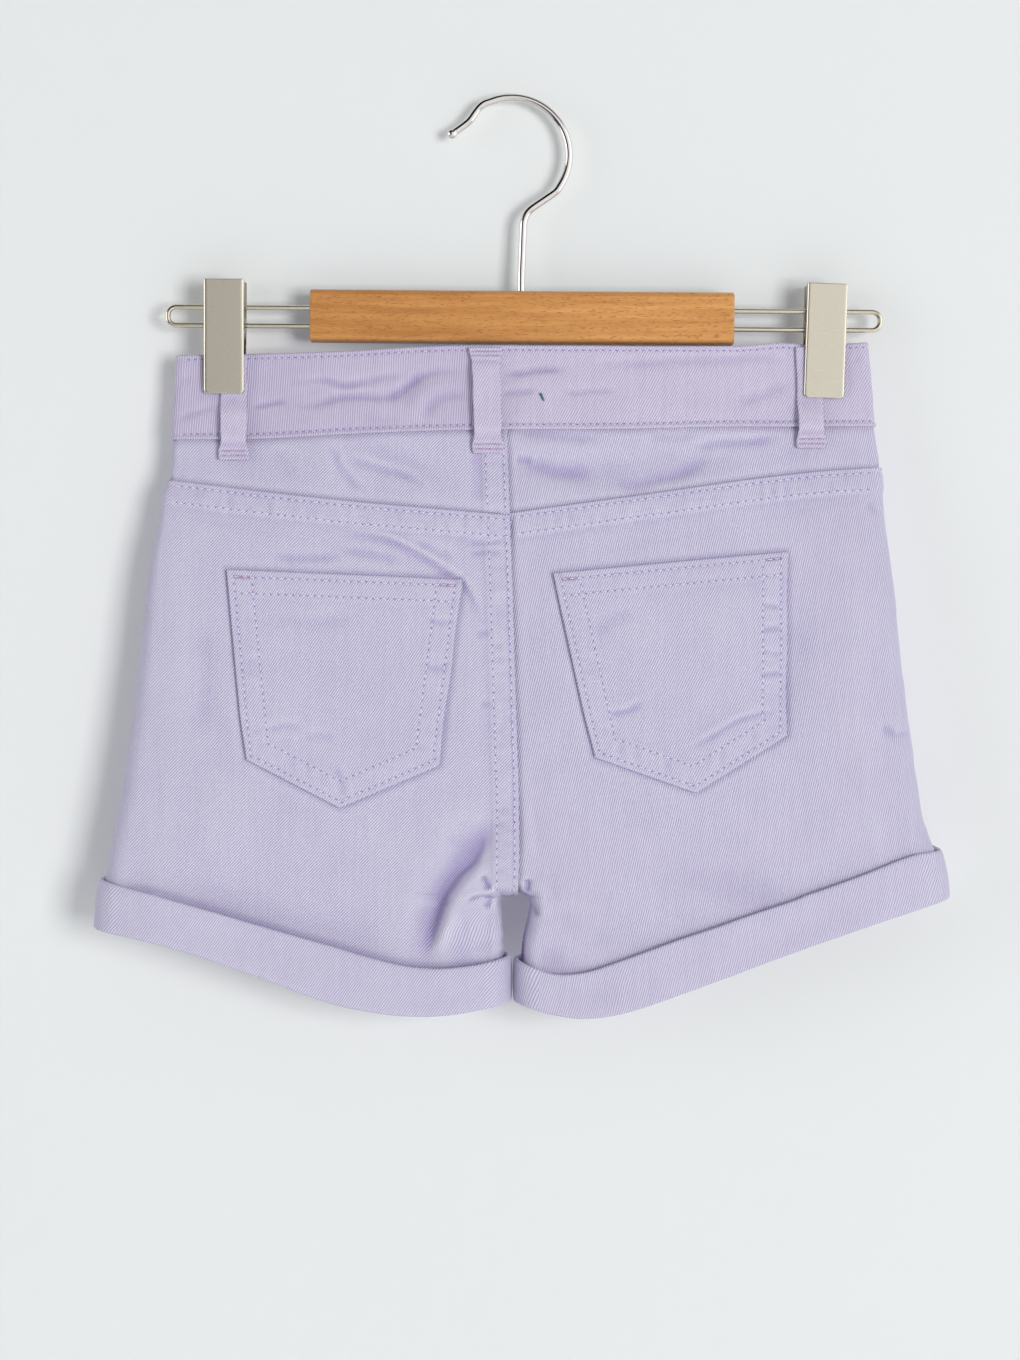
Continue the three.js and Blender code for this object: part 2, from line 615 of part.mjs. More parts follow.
// A belt loop: a strip sewn down at both ends, standing off the waistband between them.
function beltLoop({ layer, x: middle, lean, top, foot, flatTo }) {
  const steps = 10;
  const seam = bandSeam[layer](middle);
  const outer = [];
  const inner = [];
  for (let i = 0; i <= steps; i += 1) {
    const d = lerp(top, foot, i / steps);
    const onBand = BAND.proud * (1 - smoothstep(d, seam - 0.5, seam + 3));
    const arch = smoothstep(d, flatTo, flatTo + 8) * (1 - smoothstep(d, foot - 9, foot - 2));
    const clear = 0.45 + onBand + 1.5 * arch;
    const nearEnd = Math.max(1 - smoothstep(d, top + 1, top + 4), smoothstep(d, foot - 4, foot - 1));
    const thick = lerp(LOOP.wall, LOOP.endWall, flatTo > 110 && d < flatTo ? 0 : nearEnd);
    const centre = middle + lean * (i / steps);
    const xs = [centre - LOOP.width / 2, centre, centre + LOOP.width / 2];
    outer.push(xs.map((x) => offsetPoint(layer, x, d, false, clear + thick)));
    inner.push(xs.map((x) => offsetPoint(layer, x, d, false, clear)));
  }
  return wall(outer, inner);
}

// A plain domed shank button on the lap of the waistband.
function button() {
  const lapSurface = halfDepth("front", BUTTON.x, BUTTON.drop) + BAND.proud + LAP.clear;
  const { radius, height } = BUTTON;
  const profile = [
    [0, 0], [radius * 0.45, 0], [radius * 0.45, 1], [radius - 0.5, 1], [radius, 1.5],
    [radius, 2.1], [radius * 0.86, 2.7], [radius * 0.5, height], [0, height + 0.1],
  ].map(([r, h]) => new THREE.Vector2(r, h));
  return new THREE.LatheGeometry(profile, 24)
    .translate(BUTTON.x, lapSurface + SEAM_GAP, -BUTTON.drop);
}

// ---------------------------------------------------------------------------------------- hanger
// The hook's line: a leaning stem, a bend, most of a circle, and a tip that flares out.
function hookLine() {
  const { bendRadius, wire } = HOOK;
  const centreZ = wire / 2 - bendRadius;
  const at = (x, z) => new THREE.Vector3(x, 0, z);
  const points = [
    at(HANGER.x, -HANGER.drop - WIRE.seat), at(HANGER.x + 0.1, -70), at(4.6, -52), at(4.9, -47.6),
    at(6.9, -43.9), at(13.4, -39.2),
  ];
  for (let angle = -40; angle <= 112; angle += 12) {
    const a = degToRad(angle);
    points.push(at(bendRadius * Math.cos(a), centreZ + bendRadius * Math.sin(a)));
  }
  points.push(at(-15.6, -6.4), at(-18.8, -9.8), at(-23.6, -13.6));
  return new THREE.CatmullRomCurve3(points, false, "centripetal");
}

function roundShape(radius, sides) {
  const corners = Array.from({ length: sides }, (_, k) => {
    const a = (2 * Math.PI * k) / sides;
    return new THREE.Vector2(radius * Math.cos(a), radius * Math.sin(a));
  });
  return new THREE.Shape(corners);
}

const tube = (line, radius, sides, steps) =>
  new THREE.ExtrudeGeometry(roundShape(radius, sides), { extrudePath: line, steps, bevelEnabled: false });

function hook() {
  const line = hookLine();
  const tip = line.getPoint(1);
  const ball = new THREE.SphereGeometry(HOOK.ballRadius, 12, 8).translate(tip.x, tip.y, tip.z);
  return joined(tube(line, HOOK.wire / 2, 10, 46), ball);
}

// The wooden bar with its long edges rounded, drilled for the hook and the two wire loops.
function bar() {
  const { length, height, depth, edge, bevel } = BAR;
  const outline = new THREE.Shape();
  const halfY = depth / 2 - bevel;
  const halfZ = height / 2 - bevel;
  outline.moveTo(-halfY + edge, -halfZ);
  outline.lineTo(halfY - edge, -halfZ);
  outline.absarc(halfY - edge, -halfZ + edge, edge, -Math.PI / 2, 0);
  outline.lineTo(halfY, halfZ - edge);
  outline.absarc(halfY - edge, halfZ - edge, edge, 0, Math.PI / 2);
  outline.lineTo(-halfY + edge, halfZ);
  outline.absarc(-halfY + edge, halfZ - edge, edge, Math.PI / 2, Math.PI);
  outline.lineTo(-halfY, -halfZ + edge);
  outline.absarc(-halfY + edge, -halfZ + edge, edge, Math.PI, (3 * Math.PI) / 2);
  const wood = new THREE.ExtrudeGeometry(outline, {
    depth: length - 2 * bevel, curveSegments: 4, bevelEnabled: true, bevelThickness: bevel,
    bevelSize: bevel, bevelSegments: 2,
  }).rotateX(Math.PI / 2).rotateZ(Math.PI / 2).translate(HANGER.left + bevel, 0, -height / 2);
  const stemHole = new THREE.CylinderGeometry(HOOK.wire / 2 + SEAM_GAP, HOOK.wire / 2 + SEAM_GAP, 30, 14)
    .rotateX(Math.PI / 2);
  const holes = [];
  for (const end of [HANGER.left, HANGER.left + length]) {
    for (const z of [WIRE.upper, WIRE.lower]) {
      holes.push(rod(WIRE.diameter / 2 + SEAM_GAP, 2 * (WIRE.seat + 1), end, 0, z, 12));
    }
  }
  return cutBy(wood, stemHole, ...holes);
}

// A long wire loop that leaves one end of the bar, turns back and returns into it.
function wireLoop(side) {
  const inwards = side === "left" ? 1 : -1;
  const reach = WIRE_REACH[side] + (inwards * WIRE.diameter) / 2;
  const start = (side === "left" ? HANGER.left : HANGER.left + BAR.length) + inwards * WIRE.seat;
  const { upper, lower, endRadius: r } = WIRE;
  const at = (x, z) => new THREE.Vector3(x, 0, z);
  const path = new THREE.CurvePath();
  const turn = reach + inwards * r;
  path.add(new THREE.LineCurve3(at(start, upper), at(turn, upper)));
  path.add(new THREE.QuadraticBezierCurve3(at(turn, upper), at(reach, upper), at(reach, upper - r)));
  path.add(new THREE.LineCurve3(at(reach, upper - r), at(reach, lower + r)));
  path.add(new THREE.QuadraticBezierCurve3(at(reach, lower + r), at(reach, lower), at(turn, lower)));
  path.add(new THREE.LineCurve3(at(turn, lower), at(start, lower)));
  return wireAlong(path);
}

function wireAlong(path) {
  const stepsOf = (part) => (part.isLineCurve3 ? 1 : 5);
  const points = [];
  path.curves.forEach((part, k) => {
    const steps = stepsOf(part);
    for (let i = k ? 1 : 0; i <= steps; i += 1) points.push(part.getPoint(i / steps));
  });
  const sides = 8;
  const radius = WIRE.diameter / 2;
  const profile = roundShape(radius, sides).getPoints().slice(0, sides);
  const stations = points.map((p, k) => {
    const before = points[Math.max(k - 1, 0)];
    const after = points[Math.min(k + 1, points.length - 1)];
    const forward = after.clone().sub(before).normalize();
    const inPlane = new THREE.Vector3(forward.z, 0, -forward.x);
    return profile.map((c) => p.clone().addScaledVector(inPlane, c.x).add(new THREE.Vector3(0, c.y, 0)));
  });
  return sweep(stations);
}

// Each clip is two sprung plates that turn about a barrel on the lower wire, which is its origin.
const PLATE = {
  front: { jaw: -5.7, pivot: -6.2, top: -7.0, inwards: 1, earInset: 0 },
  rear: { jaw: 4.9, pivot: 6.2, top: 7.9, inwards: -1, earInset: 1.3 },
};
const EAR = { radius: 2.8, thick: 0.9, height: 4.2, hole: WIRE.diameter / 2 + 0.45 };
const BARREL = { outer: 2.4, length: 9.6 };
const JAW_FOOT = CLIP.top - CLIP.height - WIRE.lower;
const HANDLE_TOP = CLIP.top - WIRE.lower;
const FLANGE = { top: HANDLE_TOP - 0.4, foot: -5 };

function plateOutline() {
  const { corner } = CLIP;
  const half = CLIP.width / 2;
  const outline = new THREE.Shape();
  outline.moveTo(-half, HANDLE_TOP);
  outline.lineTo(-half, JAW_FOOT + corner);
  outline.absarc(-half + corner, JAW_FOOT + corner, corner, Math.PI, 1.5 * Math.PI);
  outline.lineTo(half - corner, JAW_FOOT);
  outline.absarc(half - corner, JAW_FOOT + corner, corner, 1.5 * Math.PI, 2 * Math.PI);
  outline.lineTo(half, HANDLE_TOP);
  return outline;
}

// A sheet with its outer face leaning out towards the handle, two flanges, and two ears on the wire.
function clipPlate(which) {
  const { jaw, pivot, top, inwards, earInset } = PLATE[which];
  const leaning = (geometry) => {
    const p = geometry.attributes.position;
    const slope = (top - jaw) / CLIP.height;
    for (let i = 0; i < p.count; i += 1) p.setY(i, p.getY(i) + jaw + slope * (p.getZ(i) - JAW_FOOT));
    return geometry;
  };
  const sheet = new THREE.ExtrudeGeometry(plateOutline(), {
    depth: CLIP.sheet, bevelEnabled: false, curveSegments: 4,
  }).rotateX(Math.PI / 2);
  const parts = [leaning(sheet)];
  const flangeHeight = FLANGE.top - FLANGE.foot;
  const flangeMiddle = (FLANGE.top + FLANGE.foot) / 2;
  const reach = Math.abs(pivot) - CLIP.sheet / 2;
  for (const edge of [-1, 1]) {
    const x = (edge * (CLIP.width - CLIP.sheet)) / 2;
    const earX = x - edge * earInset;
    const flangeY = (inwards * CLIP.flange - CLIP.sheet) / 2;
    parts.push(leaning(box(CLIP.sheet, CLIP.flange, flangeHeight, x, flangeY, flangeMiddle)));
    parts.push(rod(EAR.radius, EAR.thick, earX, 0, 0, 12));
    parts.push(box(EAR.thick, reach, EAR.height, earX, (-inwards * reach) / 2, 0));
  }
  return cutBy(joined(...parts), rod(EAR.hole, 2 * CLIP.width, 0, 0, 0, 12));
}

function clipBarrel() {
  const half = BARREL.length / 2;
  const profile = [
    [EAR.hole, -half], [BARREL.outer, -half], [BARREL.outer, half], [EAR.hole, half], [EAR.hole, -half],
  ].map(([r, h]) => new THREE.Vector2(r, h));
  return new THREE.LatheGeometry(profile, 14).rotateZ(Math.PI / 2);
}

// ---------------------------------------------------------------------------------------- assembly
const MATERIALS = {
  cloth: new THREE.MeshStandardMaterial({ color: 0xc3bbdc, roughness: 0.85, metalness: 0 }),
  wood: new THREE.MeshStandardMaterial({ color: 0xc98f52, roughness: 0.5, metalness: 0 }),
  chrome: new THREE.MeshStandardMaterial({ color: 0xd8d6d2, roughness: 0.18, metalness: 1 }),
  nickel: new THREE.MeshStandardMaterial({ color: 0xbdb8a8, roughness: 0.3, metalness: 1 }),
};

const part = new THREE.Group();

function add(group, name, geometry, material) {
  const mesh = new THREE.Mesh(geometry, MATERIALS[material]);
  mesh.name = name;
  group.add(mesh);
}

add(part, "waistband_back", waistbandBack(), "cloth");
for (const side of ["left", "right"]) {
  add(part, `waistband_front_${side}`, waistbandFront(side), "cloth");
  add(part, `yoke_${side}`, yoke(side), "cloth");
  add(part, `back_panel_${side}`, legPanel("back", side, yokeSeam[side], 13, 21), "cloth");
  add(part, `front_panel_${side}`, legPanel("front", side, bandSeam.front, 10, 16), "cloth");
  add(part, `back_pocket_${side}`, pocket(side), "cloth");
  add(part, `cuff_back_${side}`, cuff("back", side), "cloth");
  add(part, `cuff_front_${side}`, cuff("front", side), "cloth");
}
add(part, "fly", fly(), "cloth");
for (const row of LOOPS) add(part, row.name, beltLoop(row), "cloth");
add(part, "button", button(), "nickel");
add(part, "hook", hook(), "chrome");

const hanger = new THREE.Group();
hanger.position.set(HANGER.x, 0, -HANGER.drop);
hanger.rotation.y = degToRad(HANGER.tilt);
part.add(hanger);
add(hanger, "hanger_bar", bar(), "wood");
for (const side of ["left", "right"]) {
  add(hanger, `wire_loop_${side}`, wireLoop(side), "nickel");
  const clip = new THREE.Group();
  clip.position.set(CLIPS[side].x - HANGER.x, 0, WIRE.lower);
  clip.rotation.y = degToRad(CLIPS[side].lean);
  hanger.add(clip);
  add(clip, `clip_front_${side}`, clipPlate("front"), "nickel");
  add(clip, `clip_rear_${side}`, clipPlate("rear"), "nickel");
  add(clip, `clip_barrel_${side}`, clipBarrel(), "nickel");
}

export default part;
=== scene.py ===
"""Gabardine shorts on a clip hanger: cloth, sewing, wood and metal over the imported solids.

The shape functions work in millimetres, as x and drop (how far below the hook's crown, so z is minus
the drop). Meshes are made in metres. The seat of the shorts faces -Y and the camera looks at it.
"""

import math

import bpy
import numpy as np
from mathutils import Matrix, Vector


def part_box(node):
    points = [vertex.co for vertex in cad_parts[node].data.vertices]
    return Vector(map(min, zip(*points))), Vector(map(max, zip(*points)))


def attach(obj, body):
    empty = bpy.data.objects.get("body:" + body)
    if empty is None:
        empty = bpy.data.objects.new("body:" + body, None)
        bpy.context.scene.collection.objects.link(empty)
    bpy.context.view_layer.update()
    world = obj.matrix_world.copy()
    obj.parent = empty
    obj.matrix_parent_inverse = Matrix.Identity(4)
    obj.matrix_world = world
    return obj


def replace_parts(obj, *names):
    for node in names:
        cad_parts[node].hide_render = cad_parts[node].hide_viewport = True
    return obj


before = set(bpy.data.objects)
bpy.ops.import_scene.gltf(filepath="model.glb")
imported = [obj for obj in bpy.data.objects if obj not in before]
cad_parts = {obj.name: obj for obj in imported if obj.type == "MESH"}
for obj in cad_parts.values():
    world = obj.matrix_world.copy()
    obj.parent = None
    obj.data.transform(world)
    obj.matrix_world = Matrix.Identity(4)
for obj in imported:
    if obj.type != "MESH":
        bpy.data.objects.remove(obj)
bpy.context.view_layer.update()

MM = 0.001
BOTH = ("left", "right")
LAYERS = ("back", "front")

# ------------------------------------------------------------------------------------------- sizes
SEAM_GAP = 0.3
CLOTH = 1.2
EDGE_ROUND = 0.6  # how far in from its edges a piece of cloth rounds over
BAND = {"wall": 2.2, "proud": 0.8, "row": 2.0, "over": 0.1, "rounding": 0.9}
POCKET = {"wall": 1.2, "gap": 0.15}
CUFF = {"wall": 2.4, "gap": 0.45, "lip": 1.3}
LOOP = {"wall": 1.4, "turned": 0.7, "corner": 1.6, "gap": 0.45, "arch": 2.1, "free_above": 110}
LOOP_TACKS = {"foot": (1.7, 3.6), "top": (1.7, 3.4)}  # how far in from its ends a loop is tacked
CROTCH_DROP = 316.4
LAYER_MEET = 0.15
CLIP_HALF_DEPTH = 2.6
PINCH = {"across": 38, "from": 119, "to": 185}
CENTRE_DIP = {"depth": 1.6, "width": 16, "from": 165, "to": 230}
CLIP_WIDTH = 16.2
SIDE_ROUNDING = 0.45
SIDE_SLOPE = 0.16
THINNEST = 1.5
CLIPS = {"left": {"x": -114.4, "lean": -0.4}, "right": {"x": 125.4, "lean": 1.6}}
STITCH = {"waistband": 2.65, "pocket": 2.85, "yoke": 3.05, "tack": 1.5}
OUTWARDS = {"back": -1.0, "front": 1.0}
HOOK = {"wire": 3.2, "bend_radius": 23, "ball_radius": 2.05}
HANGER = {"x": 3.8, "drop": 76.2, "tilt": 0.43}  # the tilt is in degrees
BAR_ENDS = {"left": -84.1, "right": 85.1}
WIRE = {"diameter": 2.1, "upper": -7.0, "lower": -14.3, "seat": 12, "bend": 3.3}
WIRE_REACH = {"left": -142.2, "right": 144.8}
CLIP = {"height": 45.6, "top": 3.6, "sheet": 0.9, "corner": 1.6, "bend": 0.55, "flange": 3.1}
FLANGE_FOOT = -5  # above here a clip's plate has its edges bent in
PLATES = {
    "front": {"jaw": -5.7, "top": -7.0, "inwards": 1, "ear_inset": 0},
    "rear": {"jaw": 4.9, "top": 7.9, "inwards": -1, "ear_inset": 1.3},
}
EAR = {"radius": 2.8, "hole": 1.5, "half_arm": 2.1, "reach": 5.6}
BUTTON = {"radius": 7.5, "height": 3.2, "x": 5, "drop": 119}


# ------------------------------------------------------------------------------------------ tables
def rows(names, *lines):
    """A table with named columns, each an array."""
    return {name: np.array([line[i] for line in lines], float) for i, name in enumerate(names)}


SIDES = rows(
    ["drop", "left", "right"],
    [95, -133.3, 141.8], [120, -134.4, 143.8], [148, -136.2, 147.2], [164, -139.8, 148.6],
    [183, -144.0, 151.4], [231, -149.4, 156.6], [279, -156.2, 163.0], [292, -158.8, 166.2],
    [301, -160.8, 169.6], [318, -162.9, 172.4], [345, -165.6, 174.2],
)
ARCH = rows(
    ["x", "drop"],
    [-2.8, 375], [-2.8, 343], [-3.1, 335], [-4.3, 328], [-5.4, 321], [-5.4, 318], [-4.2, 316.7],
    [2.4, CROTCH_DROP], [5.2, 317.4], [7.0, 318.8], [7.5, 321], [5.9, 328.5], [4.4, 335],
    [3.6, 343], [3.6, 375],
)
CENTRE_BACK = rows(
    ["drop", "x"],
    [95, -3.2], [141, -1.8], [199, 0.2], [239, 1.4], [279, 2.6], [295, 2.8], [CROTCH_DROP, 2.4],
)
CENTRE_FRONT = rows(["drop", "x"], [95, 3.4], [200, 3.2], [CROTCH_DROP, 2.4])
BAND_TOP = rows(
    ["x", "drop"],
    [-136, 101.7], [-70, 100.5], [-36, 98.6], [-16, 98.1], [90, 98.3], [108, 96.8], [122, 97.8],
    [146, 96.1],
)
BAND_SEAM = rows(
    ["x", "drop"],
    [-137, 135.4], [-100, 135.2], [-50, 132.9], [-10, 131.8], [40, 131.6], [90, 130.5], [148, 130.0],
)
YOKE_SEAM = {
    "left": rows(["x", "drop"], [-139, 151.4], [-72, 159.5], [-1, 165.9]),
    "right": rows(["x", "drop"], [-1, 165.2], [55, 157.3], [115, 149.0], [149, 146.4]),
}
HEM = {
    "left": rows(
        ["share", "drop"],
        [0, 330.6], [0.19, 337.7], [0.41, 349.6], [0.56, 358.7], [0.7, 363.6], [0.82, 364.7],
        [0.92, 362.8], [1, 359.8],
    ),
    "right": rows(
        ["share", "drop"],
        [0, 318.6], [0.14, 326.0], [0.38, 340.3], [0.64, 356.7], [0.76, 363.4], [0.85, 365.6],
        [0.93, 363.8], [1, 360.0],
    ),
}
CUFF_HEIGHT = {
    "left": rows(
        ["share", "tall"],
        [0, 19.8], [0.12, 19.3], [0.26, 19.4], [0.4, 20.4], [0.56, 22.8], [0.66, 22.0], [0.78, 19.8],
        [0.92, 18.5], [1, 18.6],
    ),
    "right": rows(
        ["share", "tall"],
        [0, 18.8], [0.06, 21.2], [0.2, 20.6], [0.37, 21.0], [0.53, 21.9], [0.65, 22.4], [0.76, 21.4],
        [0.86, 18.1], [0.93, 16.2], [1, 17.4],
    ),
}
CUFF_FLARE = {  # how far the cuff's upper edge stands off the leg
    "left": rows(["share", "off"], [0, 0.4], [0.08, 1.5], [0.25, 2.1], [0.42, 1.5], [0.6, 0.6], [1, 0.4]),
    "right": rows(["share", "off"], [0, 0.3], [0.2, 0.35], [0.45, 0.8], [0.7, 0.9], [0.9, 0.5], [1, 0.3]),
}
FRONT_HEM_LIFT = {"left": 7, "right": 11}
FRONT_WAIST_DIP = 6
DEPTHS = rows(
    ["drop", "back", "front", "side_round"],
    [95, 6.2, 5.8, 3.4], [131, 7.6, 6.6, 4.2], [165, 10.6, 8.2, 8], [200, 13.2, 9.4, 13],
    [250, 14.8, 10, 17], [300, 14.6, 10, 18], [330, 13.4, 9.6, 18], [370, 12.6, 9.2, 18],
)
INNER_ROUND = rows(
    ["drop", "left", "right"],
    [280, 12, 12], [CROTCH_DROP, 12, 12], [330, 16, 14], [375, 20, 18],
)
POCKETS = {  # the corners as x and drop, from the top left round by the tip
    "left": [(-112.8, 187.6), (-19.6, 191.3), (-28.9, 265.0), (-68.0, 282.0), (-105.2, 262.6)],
    "right": [(16.6, 189.1), (109.1, 180.2), (108.7, 253.1), (72.8, 276.1), (32.6, 261.8)],
}
LOOPS = [  # name, layer, x, lean, top, foot, where the clip stops pressing the loop flat, width, flare
    ("belt_loop_back_left", "back", -110.8, 0.2, 101.8, 143.8, 119, 10.4, 2.3),
    ("belt_loop_back_centre", "back", -10.2, 0.8, 99.2, 141.4, 101, 11.0, 2.2),
    ("belt_loop_back_right", "back", 118.4, 1.0, 98.6, 139.0, 119, 10.2, 2.3),
    ("belt_loop_front_left", "front", -66.0, 0, 105.4, 147.4, 107, 11.0, 1.8),
    ("belt_loop_front_right", "front", 72.0, 0, 105.0, 147.0, 107, 11.0, 1.8),
]

# Folds are bent lines from a by b to c. "before" and "after" are their half widths on the two sides
# of the way along, and height is outwards.
FOLD = ["ax", "ad", "bx", "bd", "cx", "cd", "before", "after", "height"]
BODY_FOLDS = {
    "back": rows(
        FOLD,
        [-5, 285, -20, 305, -34, 334, 8, 8, -3.4],
        [-9, 306, -24, 321, -29, 347, 5, 5, 1.8],
        [-64, 172, -36, 176, -13, 208, 6, 6, -0.35],
        [-52, 168, -22, 178, -8, 198, 6, 6, 0.8],
        [116, 180, 118, 215, 102, 262, 15, 15, -2.4],
        [0, 147, 36, 151, 78, 145, 7, 7, -2.3],
        [-64, 136, -46, 143, -28, 152, 6, 6, -1.2],
        [-105, 121, -68, 118, -17, 106, 5, 5, -1.1],
        [-4, 108, 12, 106, 36, 105, 5, 5, -0.9],
        [-92, 210, -100, 250, -118, 300, 18, 18, 1.5],
        [60, 290, 80, 310, 110, 322, 14, 14, -1.4],
    ),
    "front": rows(
        FOLD,
        [6, 210, -24, 232, -60, 240, 9, 9, -1.6],
        [6, 214, 30, 236, 66, 246, 9, 9, -1.5],
        [4, 290, 24, 306, 42, 332, 8, 8, -2.2],
        [-2, 290, -22, 308, -40, 336, 8, 8, -2.0],
        [-100, 170, -104, 220, -112, 280, 16, 16, 1.4],
        [104, 168, 108, 222, 116, 276, 16, 16, 1.3],
    ),
}

# Finer creases than the solids carry. Each is a line of places, half widths before and after it,
# a plain rise, and a step that rises on one side of the line and falls on the other.
CREASES = {
    "back": [
        # the left yoke
        ([(-73, 135), (-70, 140), (-65, 149), (-57, 157)], 2.0, 2.6, -0.35, -0.4),
        ([(-68, 141), (-53, 146), (-42, 149), (-32, 155)], 2.2, 2.6, -0.45, -0.45),
        ([(-93, 137), (-88, 146), (-86, 153)], 4.0, 4.0, -0.25, -0.15),
        ([(-14, 136), (-13, 150), (-14, 164)], 3.4, 3.4, -0.9, 0.0),
        # the right yoke
        ([(68, 139.2), (76, 138.6), (82, 137.3), (90, 136.8), (98, 136.2), (109, 134.4)],
         2.0, 2.2, -1.3, 0),
        ([(36, 152), (48, 154), (58, 151.4), (68, 148.6), (75, 144.6), (80, 139.5)], 3.8, 3.2, -1.6, -0.2),
        ([(1, 144.6), (10, 146), (20, 148.4), (34, 149)], 4.0, 3.4, -1.3, -0.1),
        ([(50, 138), (66, 142), (82, 143), (96, 139)], 6.0, 6.0, -1.0, 0),
        ([(1, 143.4), (9, 144.2)], 1.8, 1.8, -0.8, 0),
        ([(-3, 134.4), (7, 133.8), (20, 134.6), (40, 136)], 2.6, 2.8, -1.1, 0),
        ([(52, 134.4), (66, 134.8), (76, 133.2)], 2.6, 2.4, -0.8, 0),
        # from the side to the middle, above the left pocket
        ([(-70, 172), (-58, 173), (-47, 175.6), (-36, 181), (-27, 186.5), (-19, 192), (-14, 200),
          (-11, 210)], 1.3, 2.2, -0.2, -0.7),
        ([(-97, 181), (-89, 182.4), (-74, 182.4), (-66, 181)], 2.6, 2.4, -0.6, -0.2),
        ([(-70, 179), (-60, 180), (-50, 182), (-42, 185)], 2.4, 2.4, -0.5, -0.25),
        ([(-40, 175), (-30, 179), (-20, 184)], 2.6, 2.4, -0.6, -0.3),
        # across the centre seam's allowance
        ([(-19, 176), (-10, 177), (-2, 175)], 1.6, 1.4, -0.4, -0.3),
        ([(-18, 181), (-9, 180), (-2, 181)], 1.6, 1.6, -0.5, -0.3),
        ([(-15, 213), (-7, 212)], 1.8, 1.6, -0.4, -0.2),
        ([(-13, 240), (-5, 241)], 1.8, 1.8, -0.4, -0.2),
        # the left side of the crotch
        ([(-10, 285), (-12, 296), (-16, 303.5), (-21, 310), (-25.6, 316), (-28.6, 323), (-31.5, 331),
          (-36, 342)], 2.6, 10.0, -3.9, 0),
        ([(-16, 306.4), (-21.5, 311.6), (-25.2, 317), (-27.6, 324), (-30, 331), (-33, 339)],
         1.8, 3.6, -1.5, 0),
        ([(-7, 304.6), (-12.6, 306), (-18, 309), (-22, 313), (-24.6, 318.5), (-26.8, 326), (-29.5, 334),
          (-33, 345)], 6.0, 1.5, 2.9, 0),
        ([(-16, 285), (-20, 291), (-27, 299)], 3.0, 3.8, -0.5, 0),
        ([(-12, 308), (-10.4, 311.5), (-8.4, 315.4)], 1.5, 1.4, -2.3, 0),
        ([(-5.5, 315.6), (-10, 316.3), (-15, 317), (-19, 319.6)], 1.1, 1.3, -0.7, 0.8),
        ([(-8, 316.4), (-9, 319), (-10, 322.6)], 1.5, 1.5, -3.2, 0),
        ([(-6, 318), (-8, 326), (-9, 334), (-10, 344)], 3.0, 3.6, -1.5, 0),
        # the right side of the crotch
        ([(6.6, 309.6), (6.3, 313), (6.1, 316)], 1.4, 1.5, -2.2, 0),
        ([(7.2, 317), (9.2, 321), (11.4, 325.6)], 1.3, 1.8, -1.5, -0.7),
        ([(9, 308), (12.4, 316), (15, 328)], 2.8, 2.8, 0.9, 0),
        ([(18, 318), (23, 328), (30, 335), (44, 333)], 5.8, 5.8, -0.8, 0),
        ([(6, 278), (8, 292), (9, 304)], 3.0, 3.4, 0.5, 0.3),
        # the right leg
        ([(128, 205), (118, 214), (111, 235), (106, 260)], 8.0, 8.4, -0.6, -0.2),
        ([(146, 248), (153, 252), (162, 249)], 2.0, 2.4, -1.0, -0.5),
        ([(140, 160), (146, 163), (152, 162)], 2.4, 2.6, -0.6, -0.3),
        ([(50, 300), (84, 311), (118, 316)], 9.0, 9.0, -0.6, -0.2),
        ([(8, 334), (24, 348), (46, 356)], 9.0, 8.0, -2.0, -0.2),
        # the left leg
        ([(-128, 205), (-122, 228), (-124, 256)], 6.0, 6.0, -0.7, 0.2),
        ([(-38, 334), (-70, 328), (-100, 322), (-140, 312)], 12.0, 13.0, -1.9, 0.2),
    ],
    "front": [
        ([(-64, 236), (-36, 232), (-16, 219)], 3.4, 3.0, -1.0, -0.5),
        ([(-52, 250), (-30, 246), (-8, 236)], 3.0, 2.8, -0.8, 0.3),
        ([(12, 216), (34, 232), (66, 240)], 3.2, 3.0, -0.9, -0.4),
        ([(10, 238), (30, 250), (54, 255)], 3.0, 3.0, -0.8, 0.3),
        ([(-8, 300), (-18, 312), (-26, 330)], 4.0, 3.6, -1.6, 0.5),
        ([(8, 300), (18, 314), (30, 330)], 4.0, 3.6, -1.6, 0.5),
        ([(-120, 190), (-112, 222), (-116, 258)], 6.0, 5.4, -0.9, 0.3),
        ([(118, 186), (112, 220), (118, 262)], 5.6, 5.8, -0.9, -0.3),
        ([(-96, 150), (-70, 156), (-44, 153)], 3.4, 3.0, -0.8, -0.4),
        ([(40, 152), (70, 158), (98, 151)], 3.4, 3.0, -0.8, -0.4),
    ],
}
